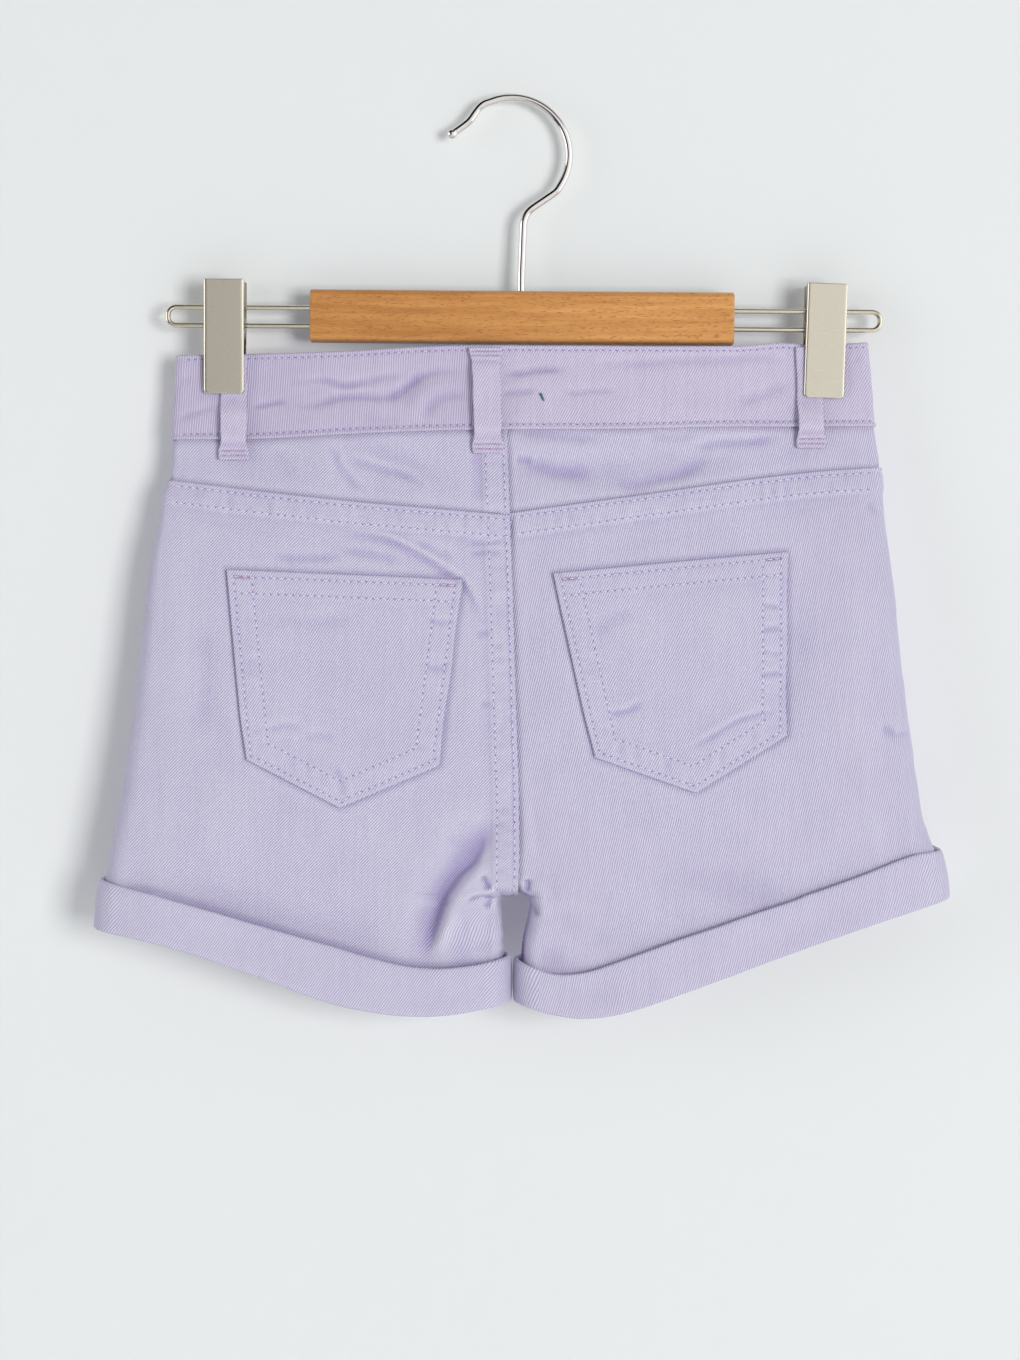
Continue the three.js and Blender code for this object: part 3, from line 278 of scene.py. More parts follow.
BAND_CREASES = {
    "back": [
        ([(-135, 127.4), (-124, 123.6), (-115, 121.2)], 1.9, 1.7, -1.0, -0.1),
        ([(-134, 112), (-126, 110.8)], 2.2, 2.2, -0.6, 0),
        ([(-106, 122.6), (-100, 122.1), (-95, 121.2), (-88, 120.2)], 1.3, 1.2, -0.9, 0.1),
        ([(-93, 120.8), (-84, 121.8), (-78, 121.5), (-72, 119.6), (-66, 118.4), (-60, 118.2), (-54, 118.8),
          (-48, 118.1), (-44, 116), (-40, 113), (-36, 110.3), (-30, 108.6), (-22, 108.3), (-16, 109)],
         1.9, 1.7, -1.1, -0.15),
        ([(-52, 119.4), (-44, 117.2), (-39, 113.4), (-33, 109.6)], 2.8, 3.6, -1.2, 0),
        ([(-93, 113.4), (-80, 112.2), (-74, 112.2), (-69, 113.6), (-65, 114.2), (-60, 113), (-55, 111.8),
          (-49, 110.7), (-42, 110.3), (-35, 110)], 1.6, 1.5, -0.8, 0),
        ([(-80, 112.2), (-73, 112.4), (-68, 113.9), (-64, 114), (-57, 112.2)], 1.7, 1.7, -0.6, 0),
        ([(-77, 116), (-66, 116.3), (-57, 115.6), (-47, 113.6)], 2.0, 1.9, 0.5, 0),
        ([(-35, 129), (-31.5, 122), (-27, 118.9), (-21, 118), (-15, 118.4)], 2.6, 2.4, -1.1, 0),
        ([(-42, 128), (-37, 120.5), (-31, 115), (-23, 113)], 3.4, 3.2, 0.6, 0),
        ([(-62, 126), (-51, 128.4), (-41, 126)], 3.2, 3.0, -0.5, 0),
        ([(-6, 109.6), (3, 109.3), (8, 108.3), (13, 107.8), (23, 107.9)], 1.7, 1.5, -1.2, -0.1),
        ([(-6, 117.4), (3, 116.8), (11, 116.4)], 1.6, 1.5, -0.9, 0),
        ([(17, 117), (26, 117.1), (33, 116.4), (44, 117)], 1.8, 1.6, -0.8, 0),
        ([(25, 106.4), (40, 105.6), (55, 105), (70, 104), (85, 103.7), (98, 102.6), (108, 103.6),
          (115, 103.2)], 2.2, 2.8, -1.2, 0),
        ([(88, 122), (98, 118.2), (106, 115.4), (113, 114)], 2.8, 2.6, -0.9, 0),
        ([(131, 100.5), (134, 103.5), (140, 103)], 1.8, 1.8, -0.8, 0),
    ],
    "front": [
        ([(-120, 122), (-92, 124), (-70, 120), (-44, 121)], 3.4, 2.6, -1.1, -0.8),
        ([(-60, 112), (-40, 113), (-24, 110)], 2.4, 2.2, -0.7, -0.6),
        ([(24, 118), (52, 121), (80, 119), (110, 121)], 3.2, 2.6, -1.1, -0.8),
        ([(36, 110), (58, 112), (84, 110)], 2.6, 2.4, -0.7, -0.6),
    ],
}
POCKET_CREASES = {
    "left": [
        ([(-98, 251), (-90, 248.6), (-82, 250)], 2.4, 2.0, -0.25, -0.25),
        ([(-84, 254), (-76, 252.6), (-68, 254)], 2.2, 2.2, -0.25, -0.15),
        ([(-100, 204), (-80, 207), (-58, 205)], 4.0, 4.0, -0.3, -0.2),
        ([(-34, 206), (-28, 208), (-22, 207)], 1.8, 1.6, -0.3, -0.3),
        ([(-36, 224), (-30, 226), (-24, 224)], 1.8, 1.6, -0.3, -0.3),
        ([(-70, 263), (-66, 272), (-65, 280)], 2.2, 2.0, -0.3, -0.3),
    ],
    "right": [
        ([(36, 244), (45, 243), (53, 239)], 2.0, 1.8, -0.4, -0.4),
        ([(68, 259), (78.5, 253.4), (88, 247.5), (96, 244.6), (107, 243)], 1.7, 1.5, -0.3, -0.45),
        ([(30, 214), (40, 206), (50, 203)], 4.0, 4.0, -0.4, -0.2),
        ([(98, 201), (107, 202)], 1.8, 1.6, -0.4, -0.4),
        ([(98, 211), (107, 210)], 1.8, 1.6, -0.4, -0.4),
        ([(98, 219), (107, 221)], 1.8, 1.6, -0.4, -0.4),
        ([(97, 229), (107, 228)], 1.8, 1.6, -0.4, -0.4),
    ],
}
UNEVEN = [(0.40, 33, 41), (0.13, 11, 14)]  # soft rises of the cloth: height, and spacing across and down


# ------------------------------------------------------------------------------------------- maths
def lerp(a, b, share):
    return a + (b - a) * share


def smoothstep(x, low, high):
    t = np.clip((x - low) / (high - low), 0, 1)
    return t * t * (3 - 2 * t)


def quarter_round(share):
    return np.sqrt(1 - (1 - np.clip(share, 0, 1)) ** 2)


def bell(distance, width):
    return np.exp(-((distance / width) ** 2))


def unit(ways):
    """Ways made one long."""
    return ways / np.linalg.norm(ways, axis=-1, keepdims=True)


def circle(count):
    """Even angles once round."""
    return np.linspace(0, 2 * np.pi, count, endpoint=False)


def running(lengths):
    """How far each place is along a line, from the lengths between its places."""
    return np.concatenate([[0], np.cumsum(lengths)])


def noise(seed, x, y=0.0):
    """Smooth noise from -1 to 1 on a lattice one unit apart."""
    size = 256
    table = np.random.default_rng(seed).uniform(-1, 1, (size, size))
    x, y = np.broadcast_arrays(np.asarray(x, float), np.asarray(y, float))
    i, j = np.floor(x).astype(int), np.floor(y).astype(int)
    u, v = smoothstep(x - i, 0, 1), smoothstep(y - j, 0, 1)
    near = lerp(table[i % size, j % size], table[(i + 1) % size, j % size], u)
    far = lerp(table[i % size, (j + 1) % size], table[(i + 1) % size, (j + 1) % size], u)
    return lerp(near, far, v)


def curve(table, at, value):
    """A smooth curve through a table's rows, from one column to another."""
    xs, ys = table[at], table[value]
    place = np.arange(len(xs))
    before, after = np.maximum(place - 1, 0), np.minimum(place + 1, len(xs) - 1)
    slope = (ys[after] - ys[before]) / (xs[after] - xs[before])

    def read(x):
        i = np.clip(np.searchsorted(xs, x) - 1, 0, len(xs) - 2)
        h = xs[i + 1] - xs[i]
        t = np.clip((x - xs[i]) / h, 0, 1)
        u = 1 - t
        ends = ys[i] * u * u * (1 + 2 * t) + ys[i + 1] * t * t * (3 - 2 * t)
        return ends + h * t * u * (slope[i] * u - slope[i + 1] * t)

    return read


def smooth_line(points, step=1.5):
    """A line of places about a step apart, curving through the given ones."""
    p = np.array(points, float)
    ends = np.vstack([2 * p[0] - p[1], p, 2 * p[-1] - p[-2]])
    out = []
    for a, b, c, e in zip(ends, ends[1:], ends[2:], ends[3:]):
        count = max(2, int(np.linalg.norm(c - b) / step))
        t = np.linspace(0, 1, count, endpoint=False)[:, None]
        out.append(0.5 * (2 * b + (c - a) * t + (2 * a - 5 * b + 4 * c - e) * t**2
                          + (3 * b - a - 3 * c + e) * t**3))
    return np.vstack([*out, p[-1:]])


def beside(line, x, d):
    """Distance of places from a line, negative on the left of its way, and their share along it."""
    a, way = line[:-1], np.diff(line, axis=0)
    length = np.linalg.norm(way, axis=1)
    from_a = np.stack([x, d], -1)[:, None, :] - a
    t = np.clip((from_a * way).sum(2) / length**2, 0, 1)
    off = from_a - t[..., None] * way
    away = np.linalg.norm(off, axis=2)
    k = away.argmin(1)
    i = np.arange(len(k))
    side = np.sign(way[k, 0] * off[i, k, 1] - way[k, 1] * off[i, k, 0])
    run = running(length)
    return away[i, k] * side, (run[k] + t[i, k] * length[k]) / run[-1]


def crease_height(line, before, after, rise, step, at_ends, x, d):
    """A crease's height at each place: soft across its line, and fading towards its ends."""
    reach = 2.6 * max(before, after)
    low, high = line.min(0) - reach, line.max(0) + reach
    near = (x > low[0]) & (x < high[0]) & (d > low[1]) & (d < high[1])
    height = np.zeros(np.shape(x))
    if near.any():
        away, along = beside(line, x[near], d[near])
        q = away / np.where(away < 0, before, after)
        across = (rise + 2.33 * step * q) * np.exp(-(q**2))
        hold = np.sin(np.pi * along) if at_ends else smoothstep(0.5 - np.abs(along - 0.5), 0, 0.3)
        height[near] = across * lerp(at_ends, 1, hold)
    return height


# ----------------------------------------------------------------------------------------- surface
def wavering_fold(side, seed):
    """The pressed fold down one side, which is a little uneven."""
    pressed_fold = curve(SIDES, "drop", side)
    return lambda d: pressed_fold(d) + 0.25 * noise(seed, d / 6.5)


side_fold = {"left": wavering_fold("left", 5), "right": wavering_fold("right", 6)}
centre_back = curve(CENTRE_BACK, "drop", "x")
centre_front = curve(CENTRE_FRONT, "drop", "x")
band_top_back = curve(BAND_TOP, "x", "drop")
band_seam_back = curve(BAND_SEAM, "x", "drop")
yoke_seam = {side: curve(YOKE_SEAM[side], "x", "drop") for side in BOTH}
hem_back = {side: curve(HEM[side], "share", "drop") for side in BOTH}
cuff_height = {side: curve(CUFF_HEIGHT[side], "share", "tall") for side in BOTH}
cuff_flare = {side: curve(CUFF_FLARE[side], "share", "off") for side in BOTH}
depth_of = {layer: curve(DEPTHS, "drop", layer) for layer in LAYERS}
side_round = curve(DEPTHS, "drop", "side_round")
inner_round = {side: curve(INNER_ROUND, "drop", side) for side in BOTH}
CROWN = int(np.argmin(ARCH["drop"]))
INNER_LEG = {
    "left": (ARCH["x"][CROWN::-1], ARCH["drop"][CROWN::-1]),
    "right": (ARCH["x"][CROWN:], ARCH["drop"][CROWN:]),
}
HALF_WAIST = (SIDES["right"][0] - SIDES["left"][0]) / 2
WAIST_MIDDLE = (SIDES["right"][0] + SIDES["left"][0]) / 2


def waist_dip(x):
    """How far the front waist hangs below the back one."""
    return FRONT_WAIST_DIP * smoothstep(1 - np.abs(x - WAIST_MIDDLE) / HALF_WAIST, 0, 1)


band_top = {"back": band_top_back, "front": lambda x: band_top_back(x) + 0.4 + waist_dip(x)}
band_seam = {"back": band_seam_back, "front": lambda x: band_seam_back(x) + waist_dip(x)}


def hem(layer, side, share):
    """The hem's drop by share of the way from the side fold to the inner leg."""
    lift = FRONT_HEM_LIFT[side] * np.sqrt(np.abs(np.sin(np.pi * np.clip(share, 0, 1))))
    return hem_back[side](share) - (lift if layer == "front" else 0)


def inner_leg(side, d):
    x, drop = INNER_LEG[side]
    return np.interp(d, drop, x)


def distance_to_arch(x, d):
    """Distance from the gap between the legs, 0 inside it, and far where it no longer matters."""
    away = np.full(np.shape(x), 99.0)
    near = d > 290
    if near.any():
        line = np.stack([ARCH["x"], ARCH["drop"]], 1)
        away[near] = np.abs(beside(line, x[near], d[near])[0])
    inside = (d > CROTCH_DROP) & (x > inner_leg("left", d)) & (x < inner_leg("right", d))
    return np.where(inside, 0, away)


def bent_line(a, b, c):
    """A line from a to c that bends towards b."""
    t = np.linspace(0, 1, 30)[:, None]
    a, b, c = np.array(a), np.array(b), np.array(c)
    return (1 - t) ** 2 * a + 2 * t * (1 - t) * b + t**2 * c


def solid_folds(layer):
    """The folds that the solids carry too."""
    return [
        (bent_line((ax, ad), (bx, bd), (cx, cd)), before, after, height, 0, 1 / 3)
        for ax, ad, bx, bd, cx, cd, before, after, height in zip(*BODY_FOLDS[layer].values())
    ]


def finer_creases(table):
    return [(smooth_line(points), *rest, 0) for points, *rest in table]


def total_height(lines, x, d):
    """The height of several creases together."""
    return sum(crease_height(*one, x, d) for one in lines)


folds = {layer: solid_folds(layer) for layer in LAYERS}
creases = {layer: finer_creases(CREASES[layer]) for layer in LAYERS}
band_creases = {layer: finer_creases(BAND_CREASES[layer]) for layer in LAYERS}
pocket_creases = {side: finer_creases(POCKET_CREASES[side]) for side in BOTH}


def pinch(x, d):
    """How firmly the clips press the layers together."""
    left_edge = CLIPS["left"]["x"] + CLIP_WIDTH / 2
    right_edge = CLIPS["right"]["x"] - CLIP_WIDTH / 2
    opened = smoothstep(x, left_edge + 1, left_edge + PINCH["across"])
    opened = opened * (1 - smoothstep(x, right_edge - PINCH["across"], right_edge - 1))
    return (1 - opened) * (1 - smoothstep(d, PINCH["from"], PINCH["to"]))


def pressed(x, d):
    """1 where a clip's jaws hold the cloth flat, 0 a little way from them."""
    away = np.minimum(np.abs(x - CLIPS["left"]["x"]), np.abs(x - CLIPS["right"]["x"]))
    return (1 - smoothstep(away, 9, 16)) * (1 - smoothstep(d, 119, 127))


def unevenness(layer, x, d):
    seed = 71 if layer == "back" else 81
    waves = [rise * noise(seed + k, x / wide, d / tall) for k, (rise, wide, tall) in enumerate(UNEVEN)]
    return sum(waves)


def full_depth(layer, x, d):
    depth = depth_of[layer](d)
    if layer == "back":
        dip = CENTRE_DIP["depth"] * bell(x - centre_back(d), CENTRE_DIP["width"])
        depth = depth - dip * smoothstep(d, CENTRE_DIP["from"], CENTRE_DIP["to"])
    depth = depth + total_height(folds[layer], x, d)
    return np.maximum(lerp(depth, CLIP_HALF_DEPTH, pinch(x, d)), CLIP_HALF_DEPTH)


def half_depth(layer, x, d):
    """Half depth of a layer's outer surface."""
    to_side = np.minimum(x - side_fold["left"](d), side_fold["right"](d) - x)
    is_left = x < centre_back(np.minimum(d, CROTCH_DROP))
    side_radius = lerp(SIDE_ROUNDING * side_round(d), CLIP_HALF_DEPTH, pinch(x, d))
    inner = SIDE_ROUNDING * np.where(is_left, inner_round["left"](d), inner_round["right"](d))
    to_arch = distance_to_arch(x, d)
    rounding = quarter_round(to_side / side_radius) * quarter_round(to_arch / inner)
    rounding = rounding * (1 - SIDE_SLOPE * (1 - smoothstep(to_side, 0, 3 * side_radius)))
    depth = LAYER_MEET + (full_depth(layer, x, d) - LAYER_MEET) * rounding
    finer = total_height(creases[layer], x, d) + unevenness(layer, x, d)
    finer = finer * (1 - pressed(x, d)) * smoothstep(np.minimum(to_side, 1.8 * to_arch), 0, 3.5)
    return np.maximum(depth + finer, np.minimum(depth, THINNEST))


def surface(layer, x, d, on_fold=False):
    """Points of a layer's outer surface and the way out of it, level away from the crotch."""
    x, d = np.broadcast_arrays(np.asarray(x, float), np.asarray(d, float))
    step = 0.1
    out = OUTWARDS[layer]
    slope_x = (half_depth(layer, x + step, d) - half_depth(layer, x - step, d)) / (2 * step)
    slope_z = (half_depth(layer, x, d - step) - half_depth(layer, x, d + step)) / (2 * step)
    near_crotch = smoothstep(d, 265, 295) * (1 - smoothstep(d, 325, 345))
    points = np.stack([x, out * half_depth(layer, x, d), -d], -1)
    outward = np.where(on_fold, 0, out) * np.ones(x.shape)
    normals = np.stack([-slope_x, outward, -slope_z * near_crotch], -1)
    return points, unit(normals)


# ------------------------------------------------------------------------------------------ meshes
def linked(name, data):
    """A new object in the scene."""
    thing = bpy.data.objects.new(name, data)
    bpy.context.scene.collection.objects.link(thing)
    return thing


def new_object(name, points, faces, material, slot):
    """A smooth-shaded mesh object from points in millimetres."""
    mesh = bpy.data.meshes.new(name)
    mesh.from_pydata((np.asarray(points) * MM).tolist(), [], faces)
    mesh.validate()
    mesh.shade_smooth()
    mesh.materials.append(material)
    piece = linked(name, mesh)
    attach(piece, "root")
    return piece


def edge_distance(points):
    """How far each point of a grid is from the grid's nearest edge, along its lines."""
    found = []
    for axis in (0, 1):
        step = np.linalg.norm(np.diff(points, axis=axis), axis=2)
        start = np.zeros_like(np.take(step, [0], axis))
        run = np.concatenate([start, np.cumsum(step, axis)], axis)
        found += [run, np.take(run, [-1], axis) - run]
    return np.minimum.reduce(found)


def grid_faces(down, across, index):
    """The quads of a grid whose points have the given numbers."""
    i, j = np.meshgrid(np.arange(down - 1), np.arange(across - 1), indexing="ij")
    corners = [index[i, j], index[i, j + 1], index[i + 1, j + 1], index[i + 1, j]]
    return np.stack([c.ravel() for c in corners], 1)


def wall_mesh(outer, inner):
    """Points and faces of a closed wall between two grids that share their edge points."""
    down, across = outer.shape[:2]
    index_out = np.arange(down * across).reshape(down, across)
    index_in = index_out.copy()
    middle = (down - 2) * (across - 2)
    index_in[1:-1, 1:-1] = down * across + np.arange(middle).reshape(down - 2, across - 2)
    points = np.concatenate([outer.reshape(-1, 3), inner[1:-1, 1:-1].reshape(-1, 3)])
    faces = np.concatenate([
        grid_faces(down, across, index_out),
        grid_faces(down, across, index_in)[:, ::-1],
    ])
    return points, faces


def ring_faces(stations, sides):
    """The faces of a skin over a row of rings, with its two ends closed."""
    index = np.arange(stations * sides).reshape(stations, sides)
    faces = grid_faces(stations, sides + 1, np.concatenate([index, index[:, :1]], 1)).tolist()
    return faces + [index[0][::-1].tolist(), index[-1].tolist()]


def facing_away(points, faces):
    """The faces of a closed skin, turned over if it is inside out."""
    volume = sum(
        np.dot(points[f[0]], np.cross(points[f[k]], points[f[k + 1]]))
        for f in faces for k in range(1, len(f) - 1)
    )
    return faces if volume > 0 else [f[::-1] for f in faces]


def facing_out(points, faces, layer):
    """The faces, turned over if the outer grid's first half looks into the garment."""
    some = faces[: len(faces) // 2: 7]
    a, b, c = (points[some[:, k]] for k in (0, 1, 2))
    y = np.cross(b - a, c - a)[:, 1].sum()
    return faces if y * OUTWARDS[layer] > 0 else faces[:, ::-1]


def cloth_coordinates(points, layer, twill):
    """Where each point of a grid lies in its flat cloth, and across and along the twill lines."""
    flat = points[..., :2]
    step = np.linalg.norm(np.diff(flat, axis=1), axis=2)
    run = np.concatenate([np.zeros((len(flat), 1)), np.cumsum(step, 1)], 1)
    anchor = points.shape[1] // 2
    u = run - run[:, [anchor]]
    if points[0, -1, 0] < points[0, 0, 0]:
        u = -u
    u = (u + points[:, [anchor], 0]) * -OUTWARDS[layer]
    v = points[..., 2]
    angle, pitch = twill(points[..., 0]) if callable(twill) else twill
    a = np.radians(angle)
    across = (v * np.cos(a) - u * np.sin(a)) / pitch
    along = u * np.cos(a) + v * np.sin(a)
    return np.stack([u, v, 0 * u], -1), np.stack([across, along, 0 * u], -1)


def add_attribute(mesh, name, values):
    layer = mesh.attributes.new(name, "FLOAT_VECTOR", "POINT")
    layer.data.foreach_set("vector", np.asarray(values, np.float32).ravel())


def softened(height, rounds):
    """Heights on a grid, evened out with their neighbours' a number of times."""
    for _ in range(rounds):
        edged = np.pad(height, 1, mode="edge")
        level = edged[1:-1, :-2] + edged[1:-1, 2:]
        upright = edged[:-2, 1:-1] + edged[2:, 1:-1]
        height = (level + upright + 4 * height) / 8
    return height


def relief_of(points, layer):
    """How far a grid's points stand out from the cloth near them, and from what lies further round."""
    x, d = points[..., 0], -points[..., 2]
    to_side = np.minimum(x - side_fold["left"](d), side_fold["right"](d) - x)
    height = points[..., 1] * OUTWARDS[layer]
    near = softened(height, 10)
    wide = softened(near, 110)
    # these rises steer the painted shade in the hollows and the lighter ridges, partly wear and partly
    # painted highlight; both fade near the side folds
    rise = np.clip((height - near) / 0.4, -1, 1)
    rise = rise * np.where(rise > 0, smoothstep(to_side, 6, 20), smoothstep(to_side, 0.5, 6))
    broad_rise = np.clip((near - wide) / 1.1, -1, 1) * smoothstep(to_side, 2, 22)
    return np.stack([rise, broad_rise], -1)


def state_cut(base):
    """Works out a cloth piece's flat size, measured along its surface, and its flat area, and keeps
    neither.
    """
    runs = [np.linalg.norm(np.diff(base, axis=axis), axis=2).sum(axis).max() for axis in (1, 0)]
    across, down = base[:-1, 1:] - base[:-1, :-1], base[1:, :-1] - base[:-1, :-1]
    area = np.linalg.norm(np.cross(across, down), axis=2).sum()
    area = min(area, runs[0] * runs[1])


def cloth_piece(name, layer, x, d, heights, twill, look, rounding=EDGE_ROUND, on_fold=False, shaded=0):
    """A closed wall of cloth over a grid of places, down from one height over the body to another."""
    high, low = (height(x, d) for height in heights)
    base, normal = surface(layer, x, d, on_fold)
    share = quarter_round(edge_distance(base) / rounding)
    middle, half = (high + low) / 2, (high - low) / 2 * share
    outer = base + normal * (middle + half)[..., None]
    inner = base + normal * (middle - half)[..., None]
    points, faces = wall_mesh(outer, inner)
    faces = facing_out(points, faces, layer)
    piece = new_object(name, points, faces.tolist(), *look)
    cloth, twill_lines = cloth_coordinates(base, layer, twill)
    rises = relief_of(base + normal * high[..., None], layer)
    # painted shadow: the first columns, the belt loops' left edges, get the darkest tint
    rises[:, :shaded] = -1
    is_turned = (twill is band_twill) & (base[..., :1] < BAND_JOIN)
    relief = np.concatenate([rises, is_turned], -1)
    for key, values in (("cloth", cloth), ("twill", twill_lines), ("relief", relief)):
        both = np.concatenate([values.reshape(-1, 3), values[1:-1, 1:-1].reshape(-1, 3)])
        add_attribute(piece.data, key, both)
    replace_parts(piece, name)
    state_cut(base)


def edge_steps(zone, fine, rounding=EDGE_ROUND):
    """Distances from an edge: close where it rounds over, then even as far as the zone reaches."""
    turn = rounding * (1 - np.cos(np.linspace(0, np.pi / 2, 5)))
    rest = np.arange(rounding + fine, zone, fine)
    return np.concatenate([turn, rest])


def graded(length, start, end, middle):
    """Shares along a length: the distances from its start, even steps, and those from its end."""
    count = max(2, int(round((length - start[-1] - end[-1]) / middle)))
    between = np.linspace(start[-1], length - end[-1], count + 1)[1:-1]
    return np.concatenate([start, between, length - end[::-1]]) / length


def fold_steps(zone, count):
    """Distances from a fold that rounds away quickly."""
    return zone * (np.arange(count + 1) / count) ** 2.2


def across_line(side, inner_x, share, line):
    """Places at shares of the way from a side fold to an inner end, on a line that gives drop by x."""
    x = lerp(side_fold[side](150.0), inner_x(150.0), share)
    for _ in range(4):
        d = line(x)
        x = lerp(side_fold[side](d), inner_x(d), share)
    return np.stack([x, line(x)])


# ---------------------------------------------------------------------------------------- heights
SEWN = {"fold": 1.1, "near": 2.0, "far": 8.7, "end": 10.2, "groove": 0.3, "pucker": 0.38, "tuck": 2.5}
FLY = {"edge": 8, "width": 30, "foot": 78, "wall": 1.2, "gap": 0.45}
LAP = {"from": -9, "to": 15, "rise_from": -24, "clear": 2.5}


def folded_seam(inside, along, seed):
    """A folded seam allowance, raised to its inner end and held down by two rows of stitches."""
    inside = np.maximum(inside, 0)
    raised = SEWN["fold"] * (1 - 0.75 * smoothstep(inside, SEWN["end"] - 1.4, SEWN["end"] + 0.8))
    raised = raised - 0.25 * SEWN["fold"] * smoothstep(inside, SEWN["end"], 26)
    rows_at = bell(inside - SEWN["near"], 0.7) + bell(inside - SEWN["far"], 0.7)
    middle = (SEWN["near"] + SEWN["far"]) / 2
    puckers = noise(seed, along / 2.6, inside / 9) * bell(inside - middle, 4.4)
    return raised - SEWN["groove"] * rows_at + SEWN["pucker"] * puckers


def beyond_centre(side, x, d):
    """Distance into a back piece from the centre seam."""
    return (centre_back(d) - x) * (1 if side == "left" else -1)


def overlapping(inside):
    """1 where a folded edge lies on its neighbour, 0 further in."""
    return 1 - smoothstep(inside, SEWN["tuck"] + 0.2, SEWN["tuck"] + 2.6)


def centre_relief(side, x, d):
    """The left pieces lie folded over the right ones, which dip beneath them."""
    inside = beyond_centre(side, x, d)
    if side == "left":
        return folded_seam(inside, d, 11)
    return -0.65 * bell(inside, 1.6)


def pocket_groove(side, x, d):
    """The cloth dips where the pocket's edges are sewn down on it."""
    inside = np.minimum.reduce(inset_from_edges(side, x, d))
    return 0.55 * bell(inside + 0.2, 1.5)


def cuff_groove(side, x, d):
    """The leg's cloth dips in where it goes behind the cuff's upper edge."""
    share = np.clip((x - side_fold[side](d)) / (inner_leg(side, d) - side_fold[side](d)), 0, 1)
    above = hem_back[side](share) - cuff_height[side](share) - d
    near, far = (0.6, 1.3) if side == "left" else (0.2, 0.5)
    return (near * bell(above - 0.4, 1.6) + far * bell(above, 11)) * smoothstep(share, 0.02, 0.12)


def panel_heights(side):
    def high(x, d):
        top = folded_seam(d - yoke_seam[side](x), x, 12 if side == "left" else 13)
        relief = centre_relief(side, x, d)
        if side == "left":
            relief = np.maximum(top, relief)
        else:
            covered = smoothstep(beyond_centre(side, x, d), 0.2, 3.5)
            relief = top * covered + (relief - 0.05 * (1 - covered))
        return relief - pocket_groove(side, x, d) - cuff_groove(side, x, d)

    def low(x, d):
        over = overlapping(d - yoke_seam[side](x))
        if side == "left":
            over = np.maximum(over, overlapping(beyond_centre(side, x, d)))
        return lerp(-CLOTH, 0.1, over) - cuff_groove(side, x, d)

    return high, low


def yoke_heights(side):
    def high(x, d):
        above = yoke_seam[side](x) - d
        shown = smoothstep(above, -0.6, 1.0)
        below = d - band_seam["back"](x)
        dips = 0.9 * bell(above, 1.7) + 0.7 * bell(below, 1.8)
        return centre_relief(side, x, d) * shown - dips - 0.05 * (1 - shown)

    def low(x, d):
        over = overlapping(beyond_centre(side, x, d)) if side == "left" else 0 * x
        return lerp(-CLOTH, 0.1, over)

    return high, low


def no_lift(x):
    """The height added to a waistband that lies on the body."""
    return 0 * x


def band_heights(layer, lift=no_lift):
    def high(x, d):
        from_top, from_foot = d - band_top[layer](x), band_seam[layer](x) - d
        rows_at = bell(from_top - BAND["row"], 0.7) + bell(from_foot - BAND["row"], 0.7)
        edge = bell(from_top, 4.5) + bell(from_foot, 4.5)
        relief = 0.2 * noise(21, x / 2.3, d / 8) * edge - 0.3 * rows_at
        relief = relief + 0.35 * noise(22, x / 19, d / 7) * bell(from_top - 17, 11)
        relief = relief + 0.5 * bell(from_foot - 0.4, 1.0) + total_height(band_creases[layer], x, d)
        return BAND["proud"] + relief * (1 - 0.9 * pressed(x, d)) + lift(x)

    def low(x, d):
        near_foot = 1 - smoothstep(band_seam[layer](x) - d, SEWN["tuck"] + 0.5, SEWN["tuck"] + 2.5)
        return lerp(BAND["proud"] - BAND["wall"], 0.15, near_foot) + lift(x)

    return high, low


def flat_heights(high, low):
    return lambda x, d: high + 0 * x, lambda x, d: low + 0 * x


# ----------------------------------------------------------------------------------------- pockets
POCKET_ROWS = {"top_near": 2.8, "top_far": 9.2, "side_near": 2.4, "side_far": 9.6}


def edge_lines(corners):
    """The pocket's five edges, as a corner and the unit way along, going round by the top right."""
    p = np.array(corners, float)
    way = np.roll(p, -1, axis=0) - p
    return p, unit(way)


def inset_from_edges(side, x, d):
    """Distances into a pocket from its top, right, lower right, lower left and left edges."""
    p, way = edge_lines(POCKETS[side])
    return [(d - p[k, 1]) * way[k, 0] - (x - p[k, 0]) * way[k, 1] for k in range(5)]


def inset_corner(side, first, second, first_inset, second_inset):
    """Where two edges meet when each is moved into the pocket."""
    p, way = edge_lines(POCKETS[side])
    inwards = np.stack([-way[:, 1], way[:, 0]], 1)
    a = p[first] + inwards[first] * first_inset
    b = p[second] + inwards[second] * second_inset
    along = np.linalg.solve(np.stack([way[first], -way[second]], 1), b - a)[0]
    return a + way[first] * along


def pocket_heights(side):
    def high(x, d):
        top, right, low_right, low_left, left = inset_from_edges(side, x, d)
        sides = np.minimum.reduce([right, low_right, low_left, left])
        rim = 1 - smoothstep(np.minimum(sides, top), 9.8, 11.6)
        near, far = (bell(sides - POCKET_ROWS[row], 0.7) for row in ("side_near", "side_far"))
        rows_at, inner = near + far, smoothstep(sides, 1, 3)
        for row in ("top_near", "top_far"):
            rows_at = np.maximum(rows_at, bell(top - POCKET_ROWS[row], 0.7) * inner)
        along = np.where(np.minimum(left, right) < np.minimum(low_left, low_right), d, x * 1.1)
        puckers = noise(31, along / 3.4, sides / 9) * bell(sides - 6, 4.5)
        puckers = puckers + noise(32, x / 4.5, d / 9) * bell(top - 6, 4.0) * 0.6
        relief = 0.25 * rim - 0.28 * rows_at + 0.36 * puckers + total_height(pocket_creases[side], x, d)
        return POCKET["gap"] + POCKET["wall"] + relief

    return high, lambda x, d: POCKET["gap"] + 0 * x


